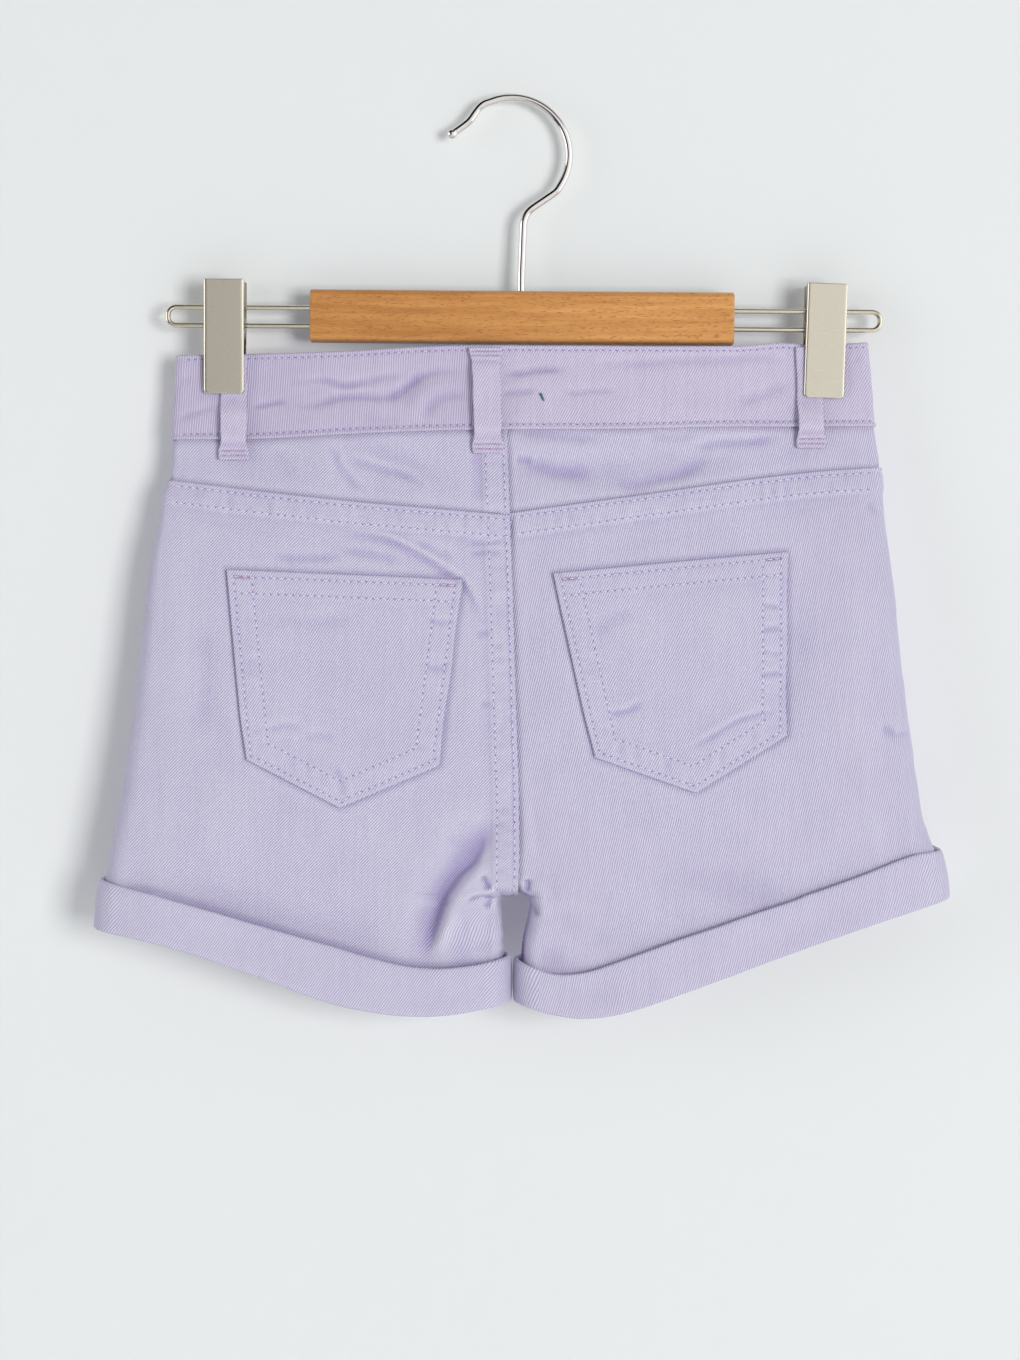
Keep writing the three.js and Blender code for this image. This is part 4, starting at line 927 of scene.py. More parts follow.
# --------------------------------------------------------------------------------------- materials
def add_node(tree, kind, inputs=None, **settings):
    """A node with its settings, and each input given as a value or as another node's output."""
    node = tree.nodes.new(kind)
    for key, value in settings.items():
        setattr(node, key, value)
    for key, value in (inputs or {}).items():
        if isinstance(value, bpy.types.NodeSocket):
            tree.links.new(value, node.inputs[key])
        else:
            node.inputs[key].default_value = value
    return node


def calc(tree, operation, *values):
    return add_node(tree, "ShaderNodeMath", dict(enumerate(values)), operation=operation).outputs[0]


def attribute(tree, name):
    return add_node(tree, "ShaderNodeAttribute", attribute_name=name).outputs["Vector"]


def object_place(tree):
    return add_node(tree, "ShaderNodeTexCoord").outputs["Object"]


def parts_of(tree, vector):
    """A vector's three parts."""
    return add_node(tree, "ShaderNodeSeparateXYZ", {0: vector}).outputs


def clamped(tree, value, times, plus=0.0):
    """A value times a number plus another, kept between 0 and 1."""
    result = calc(tree, "MULTIPLY_ADD", value, times, plus)
    return add_node(tree, "ShaderNodeClamp", {0: result}).outputs[0]


def varied(tree, tone, value, amount):
    """A tone moved up and down by a noise that goes from 0 to 1."""
    return calc(tree, "ADD", tone, calc(tree, "MULTIPLY_ADD", value, amount, -amount / 2))


def noise_node(tree, vector, scale, detail, roughness=0.5):
    inputs = {"Vector": vector, "Scale": scale, "Detail": detail, "Roughness": roughness}
    return add_node(tree, "ShaderNodeTexNoise", inputs).outputs["Fac"]


def stretched(tree, vector, across, along, through=1.0):
    inputs = {"Vector": vector, "Scale": (across, along, through)}
    return add_node(tree, "ShaderNodeMapping", inputs).outputs[0]


def ramp(tree, factor, *stops):
    """A colour ramp of (place, red, green, blue) stops."""
    node = add_node(tree, "ShaderNodeValToRGB", {"Fac": factor})
    band = node.color_ramp.elements
    while len(band) < len(stops):
        band.new(0.5)
    for element, (place, *colour) in zip(band, stops):
        element.position = place
        element.color = (*colour, 1)
    return node.outputs["Color"]


def blended(tree, how, share, first, second):
    """One colour blended into another, as far as the share says."""
    node = add_node(tree, "ShaderNodeMix", {0: share, 6: first}, data_type="RGBA", blend_type=how)
    node.inputs[7].default_value = (*second, 1)
    return node.outputs[2]


def new_material(name, **uniform):
    """A material with one Principled shader whose uniform values are set on its sockets."""
    material = bpy.data.materials.new(name)
    material.use_nodes = True
    tree = material.node_tree
    shader = tree.nodes["Principled BSDF"]
    for key, value in uniform.items():
        shader.inputs[key.replace("_", " ")].default_value = value
    return material, tree, shader


def bump(tree, shader, height, distance, strength=1.0):
    inputs = {"Height": height, "Distance": distance, "Strength": strength}
    tree.links.new(add_node(tree, "ShaderNodeBump", inputs).outputs[0], shader.inputs["Normal"])


BUMP = {"weave": 0.00022, "thread": 0.00008, "grain_and_light": 0.00010, "brushing": 0.00004}
PAINTED_SHADE_AND_WEAR = [  # painted shade in the hollows, and on the ridges wear with painted highlight: which rise tells it, how the tint blends, how much, and the tint
    ("near", "MULTIPLY", -0.46, (0.59, 0.52, 0.78)),
    ("wide", "MULTIPLY", -0.34, (0.66, 0.60, 0.80)),
    ("near", "MIX", 0.24, (0.80, 0.78, 0.87)),
]
TURNED = -0.17  # how much darker the cloth is where it is turned over
UNLIT = (0.06, 0.05, 0.04)  # painted shade and painted dark reflection on the plates' bent sides and inner faces


def gabardine(name, shade, light, contrast=1.0):
    """Twill: steep diagonal lines broken by the yarns, faint slubs and soft mottling.

    Painted shade darkens the hollows, and the ridges are lighter, partly from wear and partly as painted
    highlight.
    """
    material, tree, shader = new_material(
        name, Roughness=0.85, Sheen_Weight=0.08, Sheen_Roughness=0.45, Specular_IOR_Level=0.2)
    cloth, twill = attribute(tree, "cloth"), attribute(tree, "twill")
    sway = calc(tree, "MULTIPLY_ADD", noise_node(tree, cloth, 0.11, 3), 0.9, parts_of(tree, twill)[0])
    lines = calc(tree, "SINE", calc(tree, "MULTIPLY", sway, 2 * math.pi))
    yarns = noise_node(tree, stretched(tree, twill, 1.3, 0.75), 1.0, 3, 0.6)
    slubs = noise_node(tree, stretched(tree, cloth, 0.62, 0.03), 1.0, 2)
    mottle = noise_node(tree, cloth, 0.05, 3)
    weave = calc(tree, "MULTIPLY_ADD", lines, 0.55 * contrast, 0.5)
    weave = varied(tree, weave, yarns, 0.56 * contrast)
    weave = varied(tree, weave, slubs, 0.3)
    near, wide, is_turned = parts_of(tree, attribute(tree, "relief"))
    rises = {"near": near, "wide": wide}
    tone = calc(tree, "MULTIPLY_ADD", is_turned, TURNED, varied(tree, weave, mottle, 0.3))
    colour = ramp(tree, tone, (0, *shade), (1, *light))
    # painted shade in the hollows, and wear with painted highlight on the ridges
    for rise, how, amount, tint in PAINTED_SHADE_AND_WEAR:
        colour = blended(tree, how, clamped(tree, rises[rise], amount), colour, tint)
    tree.links.new(colour, shader.inputs["Base Color"])
    bump(tree, shader, weave, BUMP["weave"], 0.6)
    return material


def thread(name, colour, dark):
    """Sewing thread, mottled along its strands."""
    material, tree, shader = new_material(name, Roughness=0.6, Sheen_Weight=0.2)
    tone = noise_node(tree, object_place(tree), 900.0, 2)
    tree.links.new(ramp(tree, tone, (0.3, *dark), (0.7, *colour)), shader.inputs["Base Color"])
    bump(tree, shader, tone, BUMP["thread"])
    return material


def beech():
    """Warm beech: long soft grain along the bar, and its short dark flecks."""
    material, tree, shader = new_material("beech", Roughness=0.45, Coat_Weight=0.2, Coat_Roughness=0.3)
    place = object_place(tree)
    grain_and_light = noise_node(tree, stretched(tree, place, 16, 160, 330), 1.0, 4, 0.6)
    # painted light: the wood is made lighter towards the right, the side the key lamp is on
    grain_and_light = calc(tree, "MULTIPLY_ADD", parts_of(tree, place)[0], 1.4, grain_and_light)
    flecks = noise_node(tree, stretched(tree, place, 480, 900, 2700), 1.0, 1, 0.4)
    fleck = calc(tree, "MULTIPLY", clamped(tree, flecks, 12.0, -7.1), 0.6)
    tone = ramp(
        tree, grain_and_light, (0.3, 0.45, 0.182, 0.042), (0.5, 0.57, 0.256, 0.070), (0.72, 0.69, 0.335, 0.105))
    tone = blended(tree, "MIX", fleck, tone, (0.30, 0.10, 0.024))
    thrown = add_node(tree, "ShaderNodeLightPath").outputs["Is Diffuse Ray"]
    tree.links.new(blended(tree, "MIX", thrown, tone, (0.26, 0.25, 0.24)), shader.inputs["Base Color"])
    bump(tree, shader, grain_and_light, BUMP["grain_and_light"], 0.4)
    return material


def metal(name, colour, roughness, speckle, scratch, sides=0.0, inside=0.0):
    """Plated steel with a faint speckle and fine brushing along X.

    Painted shade and painted dark reflection darken the faces across X, and those that look towards the
    inside, which is along Y.
    """
    material, tree, shader = new_material(name, Metallic=1.0)
    place = object_place(tree)
    spots = noise_node(tree, place, 1400.0, 3)
    brushed = noise_node(tree, stretched(tree, place, 240, 240, 3200), 1.0, 2)
    low = [c * (1 - speckle) for c in colour]
    tone = ramp(tree, spots, (0.3, *low), (0.62, *colour))
    facing = add_node(tree, "ShaderNodeNewGeometry").outputs["True Normal"]
    across, inwards, _ = parts_of(tree, facing)
    # painted shade and dark reflection: faces across X, and inner faces, are blended towards UNLIT
    sideways = calc(tree, "MULTIPLY_ADD", calc(tree, "ABSOLUTE", across), 8.0 * sides, -7.2 * sides)
    painted_dark = calc(tree, "MAXIMUM", sideways, calc(tree, "MULTIPLY", inwards, inside))
    share = add_node(tree, "ShaderNodeClamp", {0: painted_dark}).outputs[0]
    tone = blended(tree, "MIX", share, tone, UNLIT)
    tree.links.new(tone, shader.inputs["Base Color"])
    rough = calc(tree, "MULTIPLY_ADD", brushed, 0.12, roughness - 0.06)
    tree.links.new(rough, shader.inputs["Roughness"])
    bump(tree, shader, brushed, BUMP["brushing"], scratch)
    return material


def plain(name, colour, roughness=0.9, scale=3.0, spread=0.01):
    """A matt surface with a barely uneven tone."""
    material, tree, shader = new_material(name, Roughness=roughness)
    low = [c * (1 - spread) for c in colour]
    tone = ramp(tree, noise_node(tree, object_place(tree), scale, 4), (0.3, *low), (0.7, *colour))
    tree.links.new(tone, shader.inputs["Base Color"])
    return material


CLOTH_LOOK = gabardine("gabardine", (0.42, 0.385, 0.545), (0.70, 0.67, 0.80)), "cloth"
BAND_LOOK = (
    gabardine("waistband_gabardine", (0.43, 0.375, 0.535), (0.71, 0.66, 0.785), 0.85),
    "waistband_cloth",
)
THREAD = thread("thread", (0.75, 0.715, 0.86), (0.62, 0.57, 0.78))
BAND_THREAD = thread("band_thread", (0.66, 0.62, 0.77), (0.56, 0.51, 0.70))
PINK_THREAD = thread("tack_thread", (0.56, 0.42, 0.58), (0.40, 0.29, 0.46))
# painted shade: dark beads sunk into the cloth where the needle holes are, standing in for their shadow
HOLE_SHADE = thread("needle_hole_shade", (0.33, 0.27, 0.52), (0.25, 0.20, 0.42))
BLUE_THREAD = thread("blue_thread", (0.07, 0.15, 0.26), (0.035, 0.08, 0.16))
WOOD = beech()
NICKEL_LOOK = (0.79, 0.745, 0.64), 0.30, 0.04, 0.25
NICKEL = metal("nickel", *NICKEL_LOOK)
# the plates get painted shade and dark reflection on their bent sides and inner faces
PLATE_METAL = {
    which: metal(f"{which}_plate_nickel", *NICKEL_LOOK, 1.0, inside)
    for which, inside in (("front", 0.9), ("rear", -0.9))
}
WIRE_METAL = metal("wire", (0.76, 0.71, 0.58), 0.16, 0.05, 0.1)
CHROME = metal("chrome", (0.80, 0.77, 0.76), 0.10, 0.04, 0.1)

PITCH = 0.88
TWILL = {  # the angle of the lines above +u, and how far apart they are
    "yoke_left": (48, PITCH), "yoke_right": (75, PITCH),
    "back_panel_left": (47, PITCH), "back_panel_right": (76, PITCH),
    "back_pocket_left": (57, PITCH), "back_pocket_right": (64, PITCH),
    "cuff_left": (55, PITCH), "cuff_right": (75, PITCH),
    "front": (62, PITCH), "loop": (62, 0.91),
}
BAND_TWILL = {"left": (86, 0.93), "right": (62, 0.90)}
BAND_JOIN = -8


def band_twill(x):
    """The waistband is joined at the centre, with its cloth turned the other way beyond the seam."""
    return [np.where(x < BAND_JOIN, left, right) for left, right in zip(*BAND_TWILL.values())]


# ---------------------------------------------------------------------------------------- garment
SEAM_SHARE = {"back": 0.72, "front": 0.7}  # how much of a leg panel's inner edge is the centre seam
LEG_SHARE = 0.73  # beyond here it is folded round the inner leg
SEAM_END = (285, 312)  # the right back panel comes level with the left one between these drops


def seam_inner_edge(side, at_seam, top_drop, hem_drop, seam_share):
    """The edge down the centre seam, over the crotch and down the inner leg, by share of its way."""
    x, drop = INNER_LEG[side]
    below = drop < hem_drop
    leg = np.stack([
        np.append(x[below], inner_leg(side, hem_drop)),
        np.append(drop[below], hem_drop),
    ])
    run = running(np.hypot(*np.diff(leg)))

    def edge(t):
        share = 1 - (1 - np.clip(t / seam_share, 0, 1)) ** 1.5
        seam_drop = lerp(top_drop, CROTCH_DROP - 0.01, share)
        way = np.clip((t - seam_share) / (1 - seam_share), 0, 1) * run[-1]
        on_leg = np.stack([np.interp(way, run, leg[0]), np.interp(way, run, leg[1])])
        return np.where(t <= seam_share, np.stack([at_seam(seam_drop), seam_drop]), on_leg)

    return edge


def patch(top, bottom, outer, inner, s, t):
    """The places between four edges that meet at their ends, at shares across and down."""
    across, down = s[None, None, :], t[None, :, None]
    ends = np.array([0.0, 1.0])
    corner = outer(ends), inner(ends)
    straight = (
        (1 - across) * (1 - down) * corner[0][:, 0, None, None]
        + across * (1 - down) * corner[1][:, 0, None, None]
        + (1 - across) * down * corner[0][:, 1, None, None]
        + across * down * corner[1][:, 1, None, None]
    )
    return (
        (1 - down) * top(s)[:, None, :] + down * bottom(s)[:, None, :]
        + (1 - across) * outer(t)[:, :, None] + across * inner(t)[:, :, None] - straight
    )


def at_centre(layer, side):
    """Where a leg panel ends at the centre seam: at the back the right one goes in under the left one."""
    if layer == "front":
        apart = SEAM_GAP / 2 * (-1 if side == "left" else 1)
        return lambda d: centre_front(d) + apart
    if side == "left":
        return lambda d: centre_back(d) + SEAM_GAP
    return lambda d: centre_back(d) - SEWN["tuck"] * (1 - smoothstep(d, *SEAM_END))


def leg_panel(layer, side):
    """A leg panel, from its upper seam to its hem inside the cuff."""
    back = layer == "back"
    upper = yoke_seam[side] if back else band_seam["front"]
    tucked = 0 if back else SEWN["tuck"]
    at_seam = at_centre(layer, side)
    both_ends = np.array([0.0, 1.0])

    def hem_at(share):
        return hem(layer, side, share) - CUFF["lip"] - SEAM_GAP / 2

    def top(s):
        return across_line(side, at_seam, s, lambda x: upper(x) - tucked)

    def bottom(s):
        d = hem_at(s)
        return np.stack([lerp(side_fold[side](hem_at(0.0)), inner_leg(side, hem_at(1.0)), s), d])

    top_drop, hem_drop = top(both_ends)[1], hem_at(both_ends)

    def outer(t):
        d = lerp(top_drop[0], hem_drop[0], t)
        return np.stack([side_fold[side](d), d])

    fine, even = (0.55, 1.05) if back else (1.2, 2.0)
    s = graded(150, fold_steps(20, 22), edge_steps(13, fine), even)
    t = graded(185, edge_steps(14, fine), edge_steps(3, 1.0), even)
    inner = seam_inner_edge(side, at_seam, top_drop[1], hem_drop[1], SEAM_SHARE[layer])
    x, d = patch(top, bottom, outer, inner, s, t)
    on_fold = np.zeros(x.shape, bool)
    on_fold[:, 0] = True
    on_fold[t > LEG_SHARE, -1] = True
    heights = panel_heights(side) if back else flat_heights(0, -CLOTH)
    twill = TWILL[f"back_panel_{side}"] if back else TWILL["front"]
    cloth_piece(f"{layer}_panel_{side}", layer, x, d, heights, twill, CLOTH_LOOK, on_fold=on_fold)


def strip(name, layer, sides, inner_x, upper, lower, heights, steps, twill, look, rounding):
    """A strip between two lines across the garment, from a side fold to an inner end or the far side."""
    s, t = steps

    def from_fold(side):
        lines = [across_line(side, inner_x, s, lambda x: lerp(upper(x), lower(x), share)) for share in t]
        return np.stack(lines, 1)

    grid = from_fold(sides[0])
    if len(sides) == 2:
        grid = np.concatenate([grid, from_fold(sides[1])[:, :, -2::-1]], 2)
    x, d = grid
    on_fold = np.zeros(x.shape, bool)
    on_fold[:, 0] = True
    on_fold[:, -1] = len(sides) == 2
    cloth_piece(name, layer, x, d, heights, twill, look, rounding, on_fold)


def yoke(side):
    """A back yoke, which reaches in under the waistband and under the panel's folded seam."""
    tuck = SEWN["tuck"]
    ends_at = tuck if side == "right" else -SEAM_GAP
    steps = (
        graded(140, fold_steps(12, 16), edge_steps(13, 0.55), 1.1),
        graded(30, edge_steps(4, 0.6), edge_steps(4, 0.5), 0.85),
    )
    strip(
        f"yoke_{side}", "back", [side], lambda d: centre_back(d) - ends_at,
        lambda x: band_seam["back"](x) - tuck, lambda x: yoke_seam[side](x) + tuck,
        yoke_heights(side), steps, TWILL[f"yoke_{side}"], CLOTH_LOOK, EDGE_ROUND)


def waistband_back():
    """The waistband's back, from one side fold to the other."""
    steps = (
        graded(138, fold_steps(4, 14), np.array([0.0]), 0.7),
        graded(34, edge_steps(4, 0.45, 1.1), edge_steps(4, 0.45, 0.5), 0.5),
    )
    strip(
        "waistband_back", "back", BOTH, centre_back, band_top["back"],
        lambda x: band_seam["back"](x) + BAND["over"], band_heights("back"), steps, band_twill,
        BAND_LOOK, BAND["rounding"])


def lap_lift(x):
    """The left waistband front rises over the right one's end."""
    return LAP["clear"] * smoothstep(x, LAP["rise_from"], LAP["from"] - 2)


def waistband_front(side):
    """Half of the waistband's front: the left one laps over the right one."""
    end = LAP["to"] if side == "left" else LAP["from"]
    lift = lap_lift if side == "left" else no_lift
    steps = (
        graded(138, fold_steps(4, 12), edge_steps(4, 0.8, 0.9), 1.4),
        graded(34, edge_steps(4, 0.7, 1.1), edge_steps(4, 0.7, 0.5), 1.1),
    )
    strip(
        f"waistband_front_{side}", "front", [side], lambda d: end + 0 * d, band_top["front"],
        lambda x: band_seam["front"](x) + BAND["over"], band_heights("front", lift), steps,
        TWILL["loop"], BAND_LOOK, BAND["rounding"])


def fly_far_edge(t):
    """The fly's outer edge, which curves in towards its foot."""
    narrow = FLY["width"] * (1 - quarter_round(1 - np.maximum(0, (t - 0.55) / 0.45)))
    return FLY["edge"] - FLY["width"] + np.minimum(narrow, FLY["width"] - 7)


def fly():
    """The folded edge of the left front, with its curved foot."""
    t, s = np.meshgrid(np.linspace(0, 1, 90), np.linspace(0, 1, 34), indexing="ij")
    x = lerp(fly_far_edge(t), FLY["edge"], s)
    d = band_seam["front"](x) + SEAM_GAP + t * FLY["foot"]
    high, low = flat_heights(FLY["gap"] + FLY["wall"], FLY["gap"])

    def uneven(x, d):
        return high(x, d) + 0.15 * noise(41, d / 3.2, x / 8)

    cloth_piece("fly", "front", x, d, (uneven, low), TWILL["front"], CLOTH_LOOK)


def pocket(side):
    """A patch pocket with a pointed foot."""
    left, right, low_right, tip, low_left = np.array(POCKETS[side], float)
    ends = edge_steps(12, 0.7)
    across, down = np.meshgrid(graded(92, ends, ends, 1.0), graded(84, ends, ends, 1.0))
    sway = 0.5 * noise(33, down * 4, across * 2)
    first, second = np.clip(2 * across, 0, 1), np.clip(2 * across - 1, 0, 1)

    def mix(k):
        upper = lerp(left[k], right[k], across)
        foot = np.where(
            across < 0.5, lerp(low_left[k], tip[k], first), lerp(tip[k], low_right[k], second))
        return lerp(upper, foot, down)

    x, d = mix(0) + sway, mix(1) + 0.6 * sway
    name = f"back_pocket_{side}"
    cloth_piece(name, "back", x, d, pocket_heights(side), TWILL[name], CLOTH_LOOK)


def cuff_profile(height):
    """The cuff's section as heights off the leg and up from the hem, going round from its inner face."""
    thick, gap, lip = CUFF["wall"], CUFF["gap"], CUFF["lip"]
    r, seat, inner = thick / 2, lip - SEAM_GAP, -CLOTH - 0.2
    over, turn = np.linspace(0, math.pi, 9), np.linspace(0, math.pi / 2, 6)
    down, up = np.arange(1, 14) / 14, np.arange(1, 5) / 5
    top = [gap + r - r * np.cos(over), height - r + r * np.sin(over)]
    face = [gap + thick + 0.25 * np.sin(math.pi * down), lerp(height - r, r, down)]
    foot = [gap + thick - r + r * np.cos(turn), r - r * np.sin(turn)]
    under = [[inner, inner, gap], [0, seat, seat]]
    rise = [gap + 0 * up, lerp(seat, height - r, up)]
    return np.concatenate([top, face, foot, under, rise], 1).T


def cuff(layer, side):
    """The turned-up cuff of one layer of a leg."""
    s = graded(155, fold_steps(20, 18), edge_steps(16, 1.2), 1.5 if layer == "back" else 2.2)
    heights = cuff_height[side](s)
    sections = np.stack([cuff_profile(h) for h in heights])
    off, up = sections[..., 0], sections[..., 1]
    share = np.repeat(s[:, None], off.shape[1], 1)
    tall = heights[:, None]
    d = hem(layer, side, share) - up
    x = lerp(side_fold[side](d), inner_leg(side, d), share)
    near_top = smoothstep(up, tall - 10, tall)
    flare = (cuff_flare[side](share) + 0.3 * noise(51, share * 7, 0)) * near_top
    flare = flare * smoothstep(share, 0, 0.08) * (1 - smoothstep(share, 0.92, 1))
    ripple = 0.3 * noise(52, share * 11, up / 9) + 0.12 * noise(53, share * 38, up / 6)
    ends = np.zeros(x.shape, bool)
    ends[[0, -1]] = True
    base, normal = surface(layer, x, d, ends)
    fade = smoothstep(share, 0, 0.06) * (1 - smoothstep(share, 0.95, 1))
    points = base + normal * (off + flare + ripple * fade * smoothstep(up, 0, 4))[..., None]
    points = points.reshape(-1, 3)
    name = f"cuff_{layer}_{side}"
    piece = new_object(name, points, facing_away(points, ring_faces(*off.shape)), *CLOTH_LOOK)
    coordinates = cloth_coordinates(base.transpose(1, 0, 2), layer, TWILL[f"cuff_{side}"])
    for key, values in zip(("cloth", "twill"), coordinates):
        add_attribute(piece.data, key, values.transpose(1, 0, 2).reshape(-1, 3))
    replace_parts(piece, name)
    outer_face = off[0] >= CUFF["gap"] + CUFF["wall"] / 2 - 0.05
    state_cut(base[:, outer_face])


def loop_heights(layer, x_middle, lean, top, foot, flat_to, width):
    """A belt loop lies on the body at its ends and stands off it between them."""
    free_top = flat_to < LOOP["free_above"]

    def low(x, d):
        on_band = BAND["proud"] * (1 - smoothstep(d, band_seam[layer](x) - 0.5, band_seam[layer](x) + 3))
        arch = smoothstep(d, flat_to, flat_to + 8) * (1 - smoothstep(d, foot - 9, foot - 2))
        return LOOP["gap"] + on_band + LOOP["arch"] * arch

    def high(x, d):
        across = (x - x_middle - lean * (d - top) / (foot - top)) / (width / 2)
        turned = smoothstep(d, foot - 6, foot - 4.5) + (1 - smoothstep(d, top + 4, top + 5.5)) * free_top
        rows_at = sum(bell(d - foot + inset, 0.5) for inset in LOOP_TACKS["foot"])
        rows_at = rows_at + sum(bell(d - top - inset, 0.5) for inset in LOOP_TACKS["top"]) * free_top
        relief = 0.16 * noise(61, d / 4, across * 1.5) + 0.12 * across**2 - 0.3 * rows_at
        return low(x_middle, d) + LOOP["wall"] + LOOP["turned"] * turned + relief

    return high, low


def belt_loop(name, layer, x_middle, lean, top, foot, flat_to, middle_width, flare):
    """A belt loop, wider where its ends are turned under and tacked down."""
    t = graded(foot - top, edge_steps(6, 0.4, 0.7), edge_steps(7, 0.4, 0.7), 0.7)
    s = graded(middle_width, edge_steps(2.5, 0.4), edge_steps(2.5, 0.4), 0.5)
    across, down = np.meshgrid(s * 2 - 1, t)
    d = lerp(top, foot, down)
    free_top = flat_to < LOOP["free_above"]
    at_top = (1 - smoothstep(d, top + 1, top + 6)) * free_top
    width = middle_width + flare * np.maximum(smoothstep(d, foot - 8, foot - 2.5), at_top)
    width = width - LOOP["corner"] * (1 - quarter_round((foot - d) / LOOP["corner"]))
    x = x_middle + lean * down + across * width / 2 + 0.25 * noise(62, d / 5, across)
    heights = loop_heights(layer, x_middle, lean, top, foot, flat_to, middle_width)
    cloth_piece(name, layer, x, d, heights, TWILL["loop"], BAND_LOOK, shaded=2)

    def tack_row(middle, drop):
        return [(middle - middle_width / 2, drop), (middle + middle_width / 2, drop)]

    lines = [tack_row(x_middle + lean, foot - inset) for inset in LOOP_TACKS["foot"]]
    if free_top:
        lines += [tack_row(x_middle, top + inset) for inset in LOOP_TACKS["top"]]
    sew(f"tacks_{name}", layer, lines, heights[0], STITCH["tack"], PINK_THREAD, TACK_SHARE)


# ------------------------------------------------------------------------------------------ sewing
STITCH_RINGS = [  # each ring's place along the stitch, its radius and its rise
    (-0.5, 0.10, -0.14), (-0.42, 0.24, 0.04), (0.0, 0.31, 0.14), (0.42, 0.24, 0.04), (0.5, 0.10, -0.14),
]
LINE_PLACES = 200
JITTER = 0.06  # how unevenly the stitches lie
TACK_SHARE = 0.85  # how much of its pitch a tack's stitch fills
CENTRE_ROWS = (1.4, 8.5)  # how far the rows lie from the centre seam


def resample(line, pitch):
    """Places a pitch apart along a line, and the unit way along it there."""
    run = running(np.linalg.norm(np.diff(line, axis=0), axis=1))
    count = max(1, int(run[-1] / pitch))
    at = (np.arange(count) + 0.5) * run[-1] / count
    places = np.stack([np.interp(at, run, line[:, k]) for k in (0, 1)], 1)
    k = np.clip(np.searchsorted(run, at) - 1, 0, len(run) - 2)
    return places, unit(np.diff(line, axis=0)[k])


def on_cloth(layer, places, high):
    x, d = places[:, 0], places[:, 1]
    base, normal = surface(layer, x, d)
    return base + normal * np.asarray(high(x, d))[:, None], normal


def stitch_mesh(stitches, length, sides):
    """Short bent capsules of thread, as points and faces."""
    centres, ways, normals = (np.concatenate(part) for part in zip(*stitches))
    angle = circle(sides)[None, :, None]
    round_it = np.cos(angle) * np.cross(ways, normals)[:, None] + np.sin(angle) * normals[:, None]
    rings = []
    for along, radius, rise in STITCH_RINGS:
        middle = centres + ways * along * length + normals * rise
        rings.append(middle[:, None] + radius * round_it)
    points = np.stack(rings, 1).reshape(-1, 3)
    per = len(STITCH_RINGS) * sides
    one = []
    for ring in range(len(STITCH_RINGS) - 1):
        for k in range(sides):
            a, b = ring * sides + k, ring * sides + (k + 1) % sides
            one.append([a, a + sides, b + sides, b])
    one.append(list(range(sides)))
    one.append([per - sides + k for k in range(sides)][::-1])
    faces = [[i + n * per for i in face] for n in range(len(centres)) for face in one]
    return points, faces


def sew(name, layer, lines, high, pitch, material=THREAD, share=0.68):
    """Rows of stitches along lines of places, with dark beads of painted shade in the needle holes between
    them.
    """
    stitches, hole_shades = [], []
    rng = np.random.default_rng(sum(map(ord, name)))
    for line in lines:
        places, way = resample(np.asarray(line, float), pitch)
        places = places + rng.normal(0, JITTER, places.shape)
        centres, normals = on_cloth(layer, places, high)
        ahead, _ = on_cloth(layer, places + way * 0.3, high)
        ways = ahead - centres
        ways = unit(ways - normals * (ways * normals).sum(1, keepdims=True))
        stitches.append((centres, ways, normals))
        # painted shade: a dark bead sunk in each needle hole
        spots, out = on_cloth(layer, places + way * pitch / 2, high)
        hole_shades.append((spots - out * 0.12, ways, out))
    new_object(name, *stitch_mesh(stitches, pitch * share, 6), material, "thread")
    new_object(f"{name}_holes", *stitch_mesh(hole_shades, pitch * (1 - share) * 0.9, 5), HOLE_SHADE, "thread")


def level_line(line, start, end):
    """A line of places from one x to another on a curve that gives drop by x."""
    x = np.linspace(start, end, LINE_PLACES)
    return np.stack([x, line(x)], 1)


def upright_line(line, start, end):
    """A line of places from one drop to another on a curve that gives x by drop."""
    d = np.linspace(start, end, LINE_PLACES)
    return np.stack([line(d), d], 1)


def sew_waistband():
    high = band_heights("back")[0]
    ends = [side_fold["left"](100.0) + 2, side_fold["right"](100.0) - 2]
    foot = [side_fold["left"](133.0) + 2, side_fold["right"](130.0) - 2]
    sew("stitches_waistband_back", "back", [
        level_line(lambda x: band_top["back"](x) + BAND["row"], *ends),
        level_line(lambda x: band_seam["back"](x) - BAND["row"], *foot),
    ], high, STITCH["waistband"], BAND_THREAD, 0.58)


def sew_yoke(side):
    near, far = SEWN["near"], SEWN["far"]
    if side == "left":
        ends = [(side_fold["left"](153.0) + 3, 0.0), (side_fold["left"](160.0) + 3, 0.0)]
    else:
        ends = [(1.2, side_fold["right"](147.0) - 5), (1.4, side_fold["right"](155.0) - 6)]
    sew(f"stitches_yoke_{side}", "back", [
        level_line(lambda x: yoke_seam[side](x) + near, *ends[0]),
        level_line(lambda x: yoke_seam[side](x) + far, *ends[1]),
    ], panel_heights(side)[0], STITCH["yoke"])


def sew_centre():
    near, far = CENTRE_ROWS
    for part, start, end in (("yoke", 136, 163), ("panel", 168, 315.5)):
        heights = yoke_heights("left") if part == "yoke" else panel_heights("left")
        sew(f"stitches_centre_{part}", "back", [
            upright_line(lambda d: centre_back(d) - near, start, end),
            upright_line(lambda d: centre_back(d) - far, start, end - 1.5),
        ], heights[0], STITCH["yoke"])


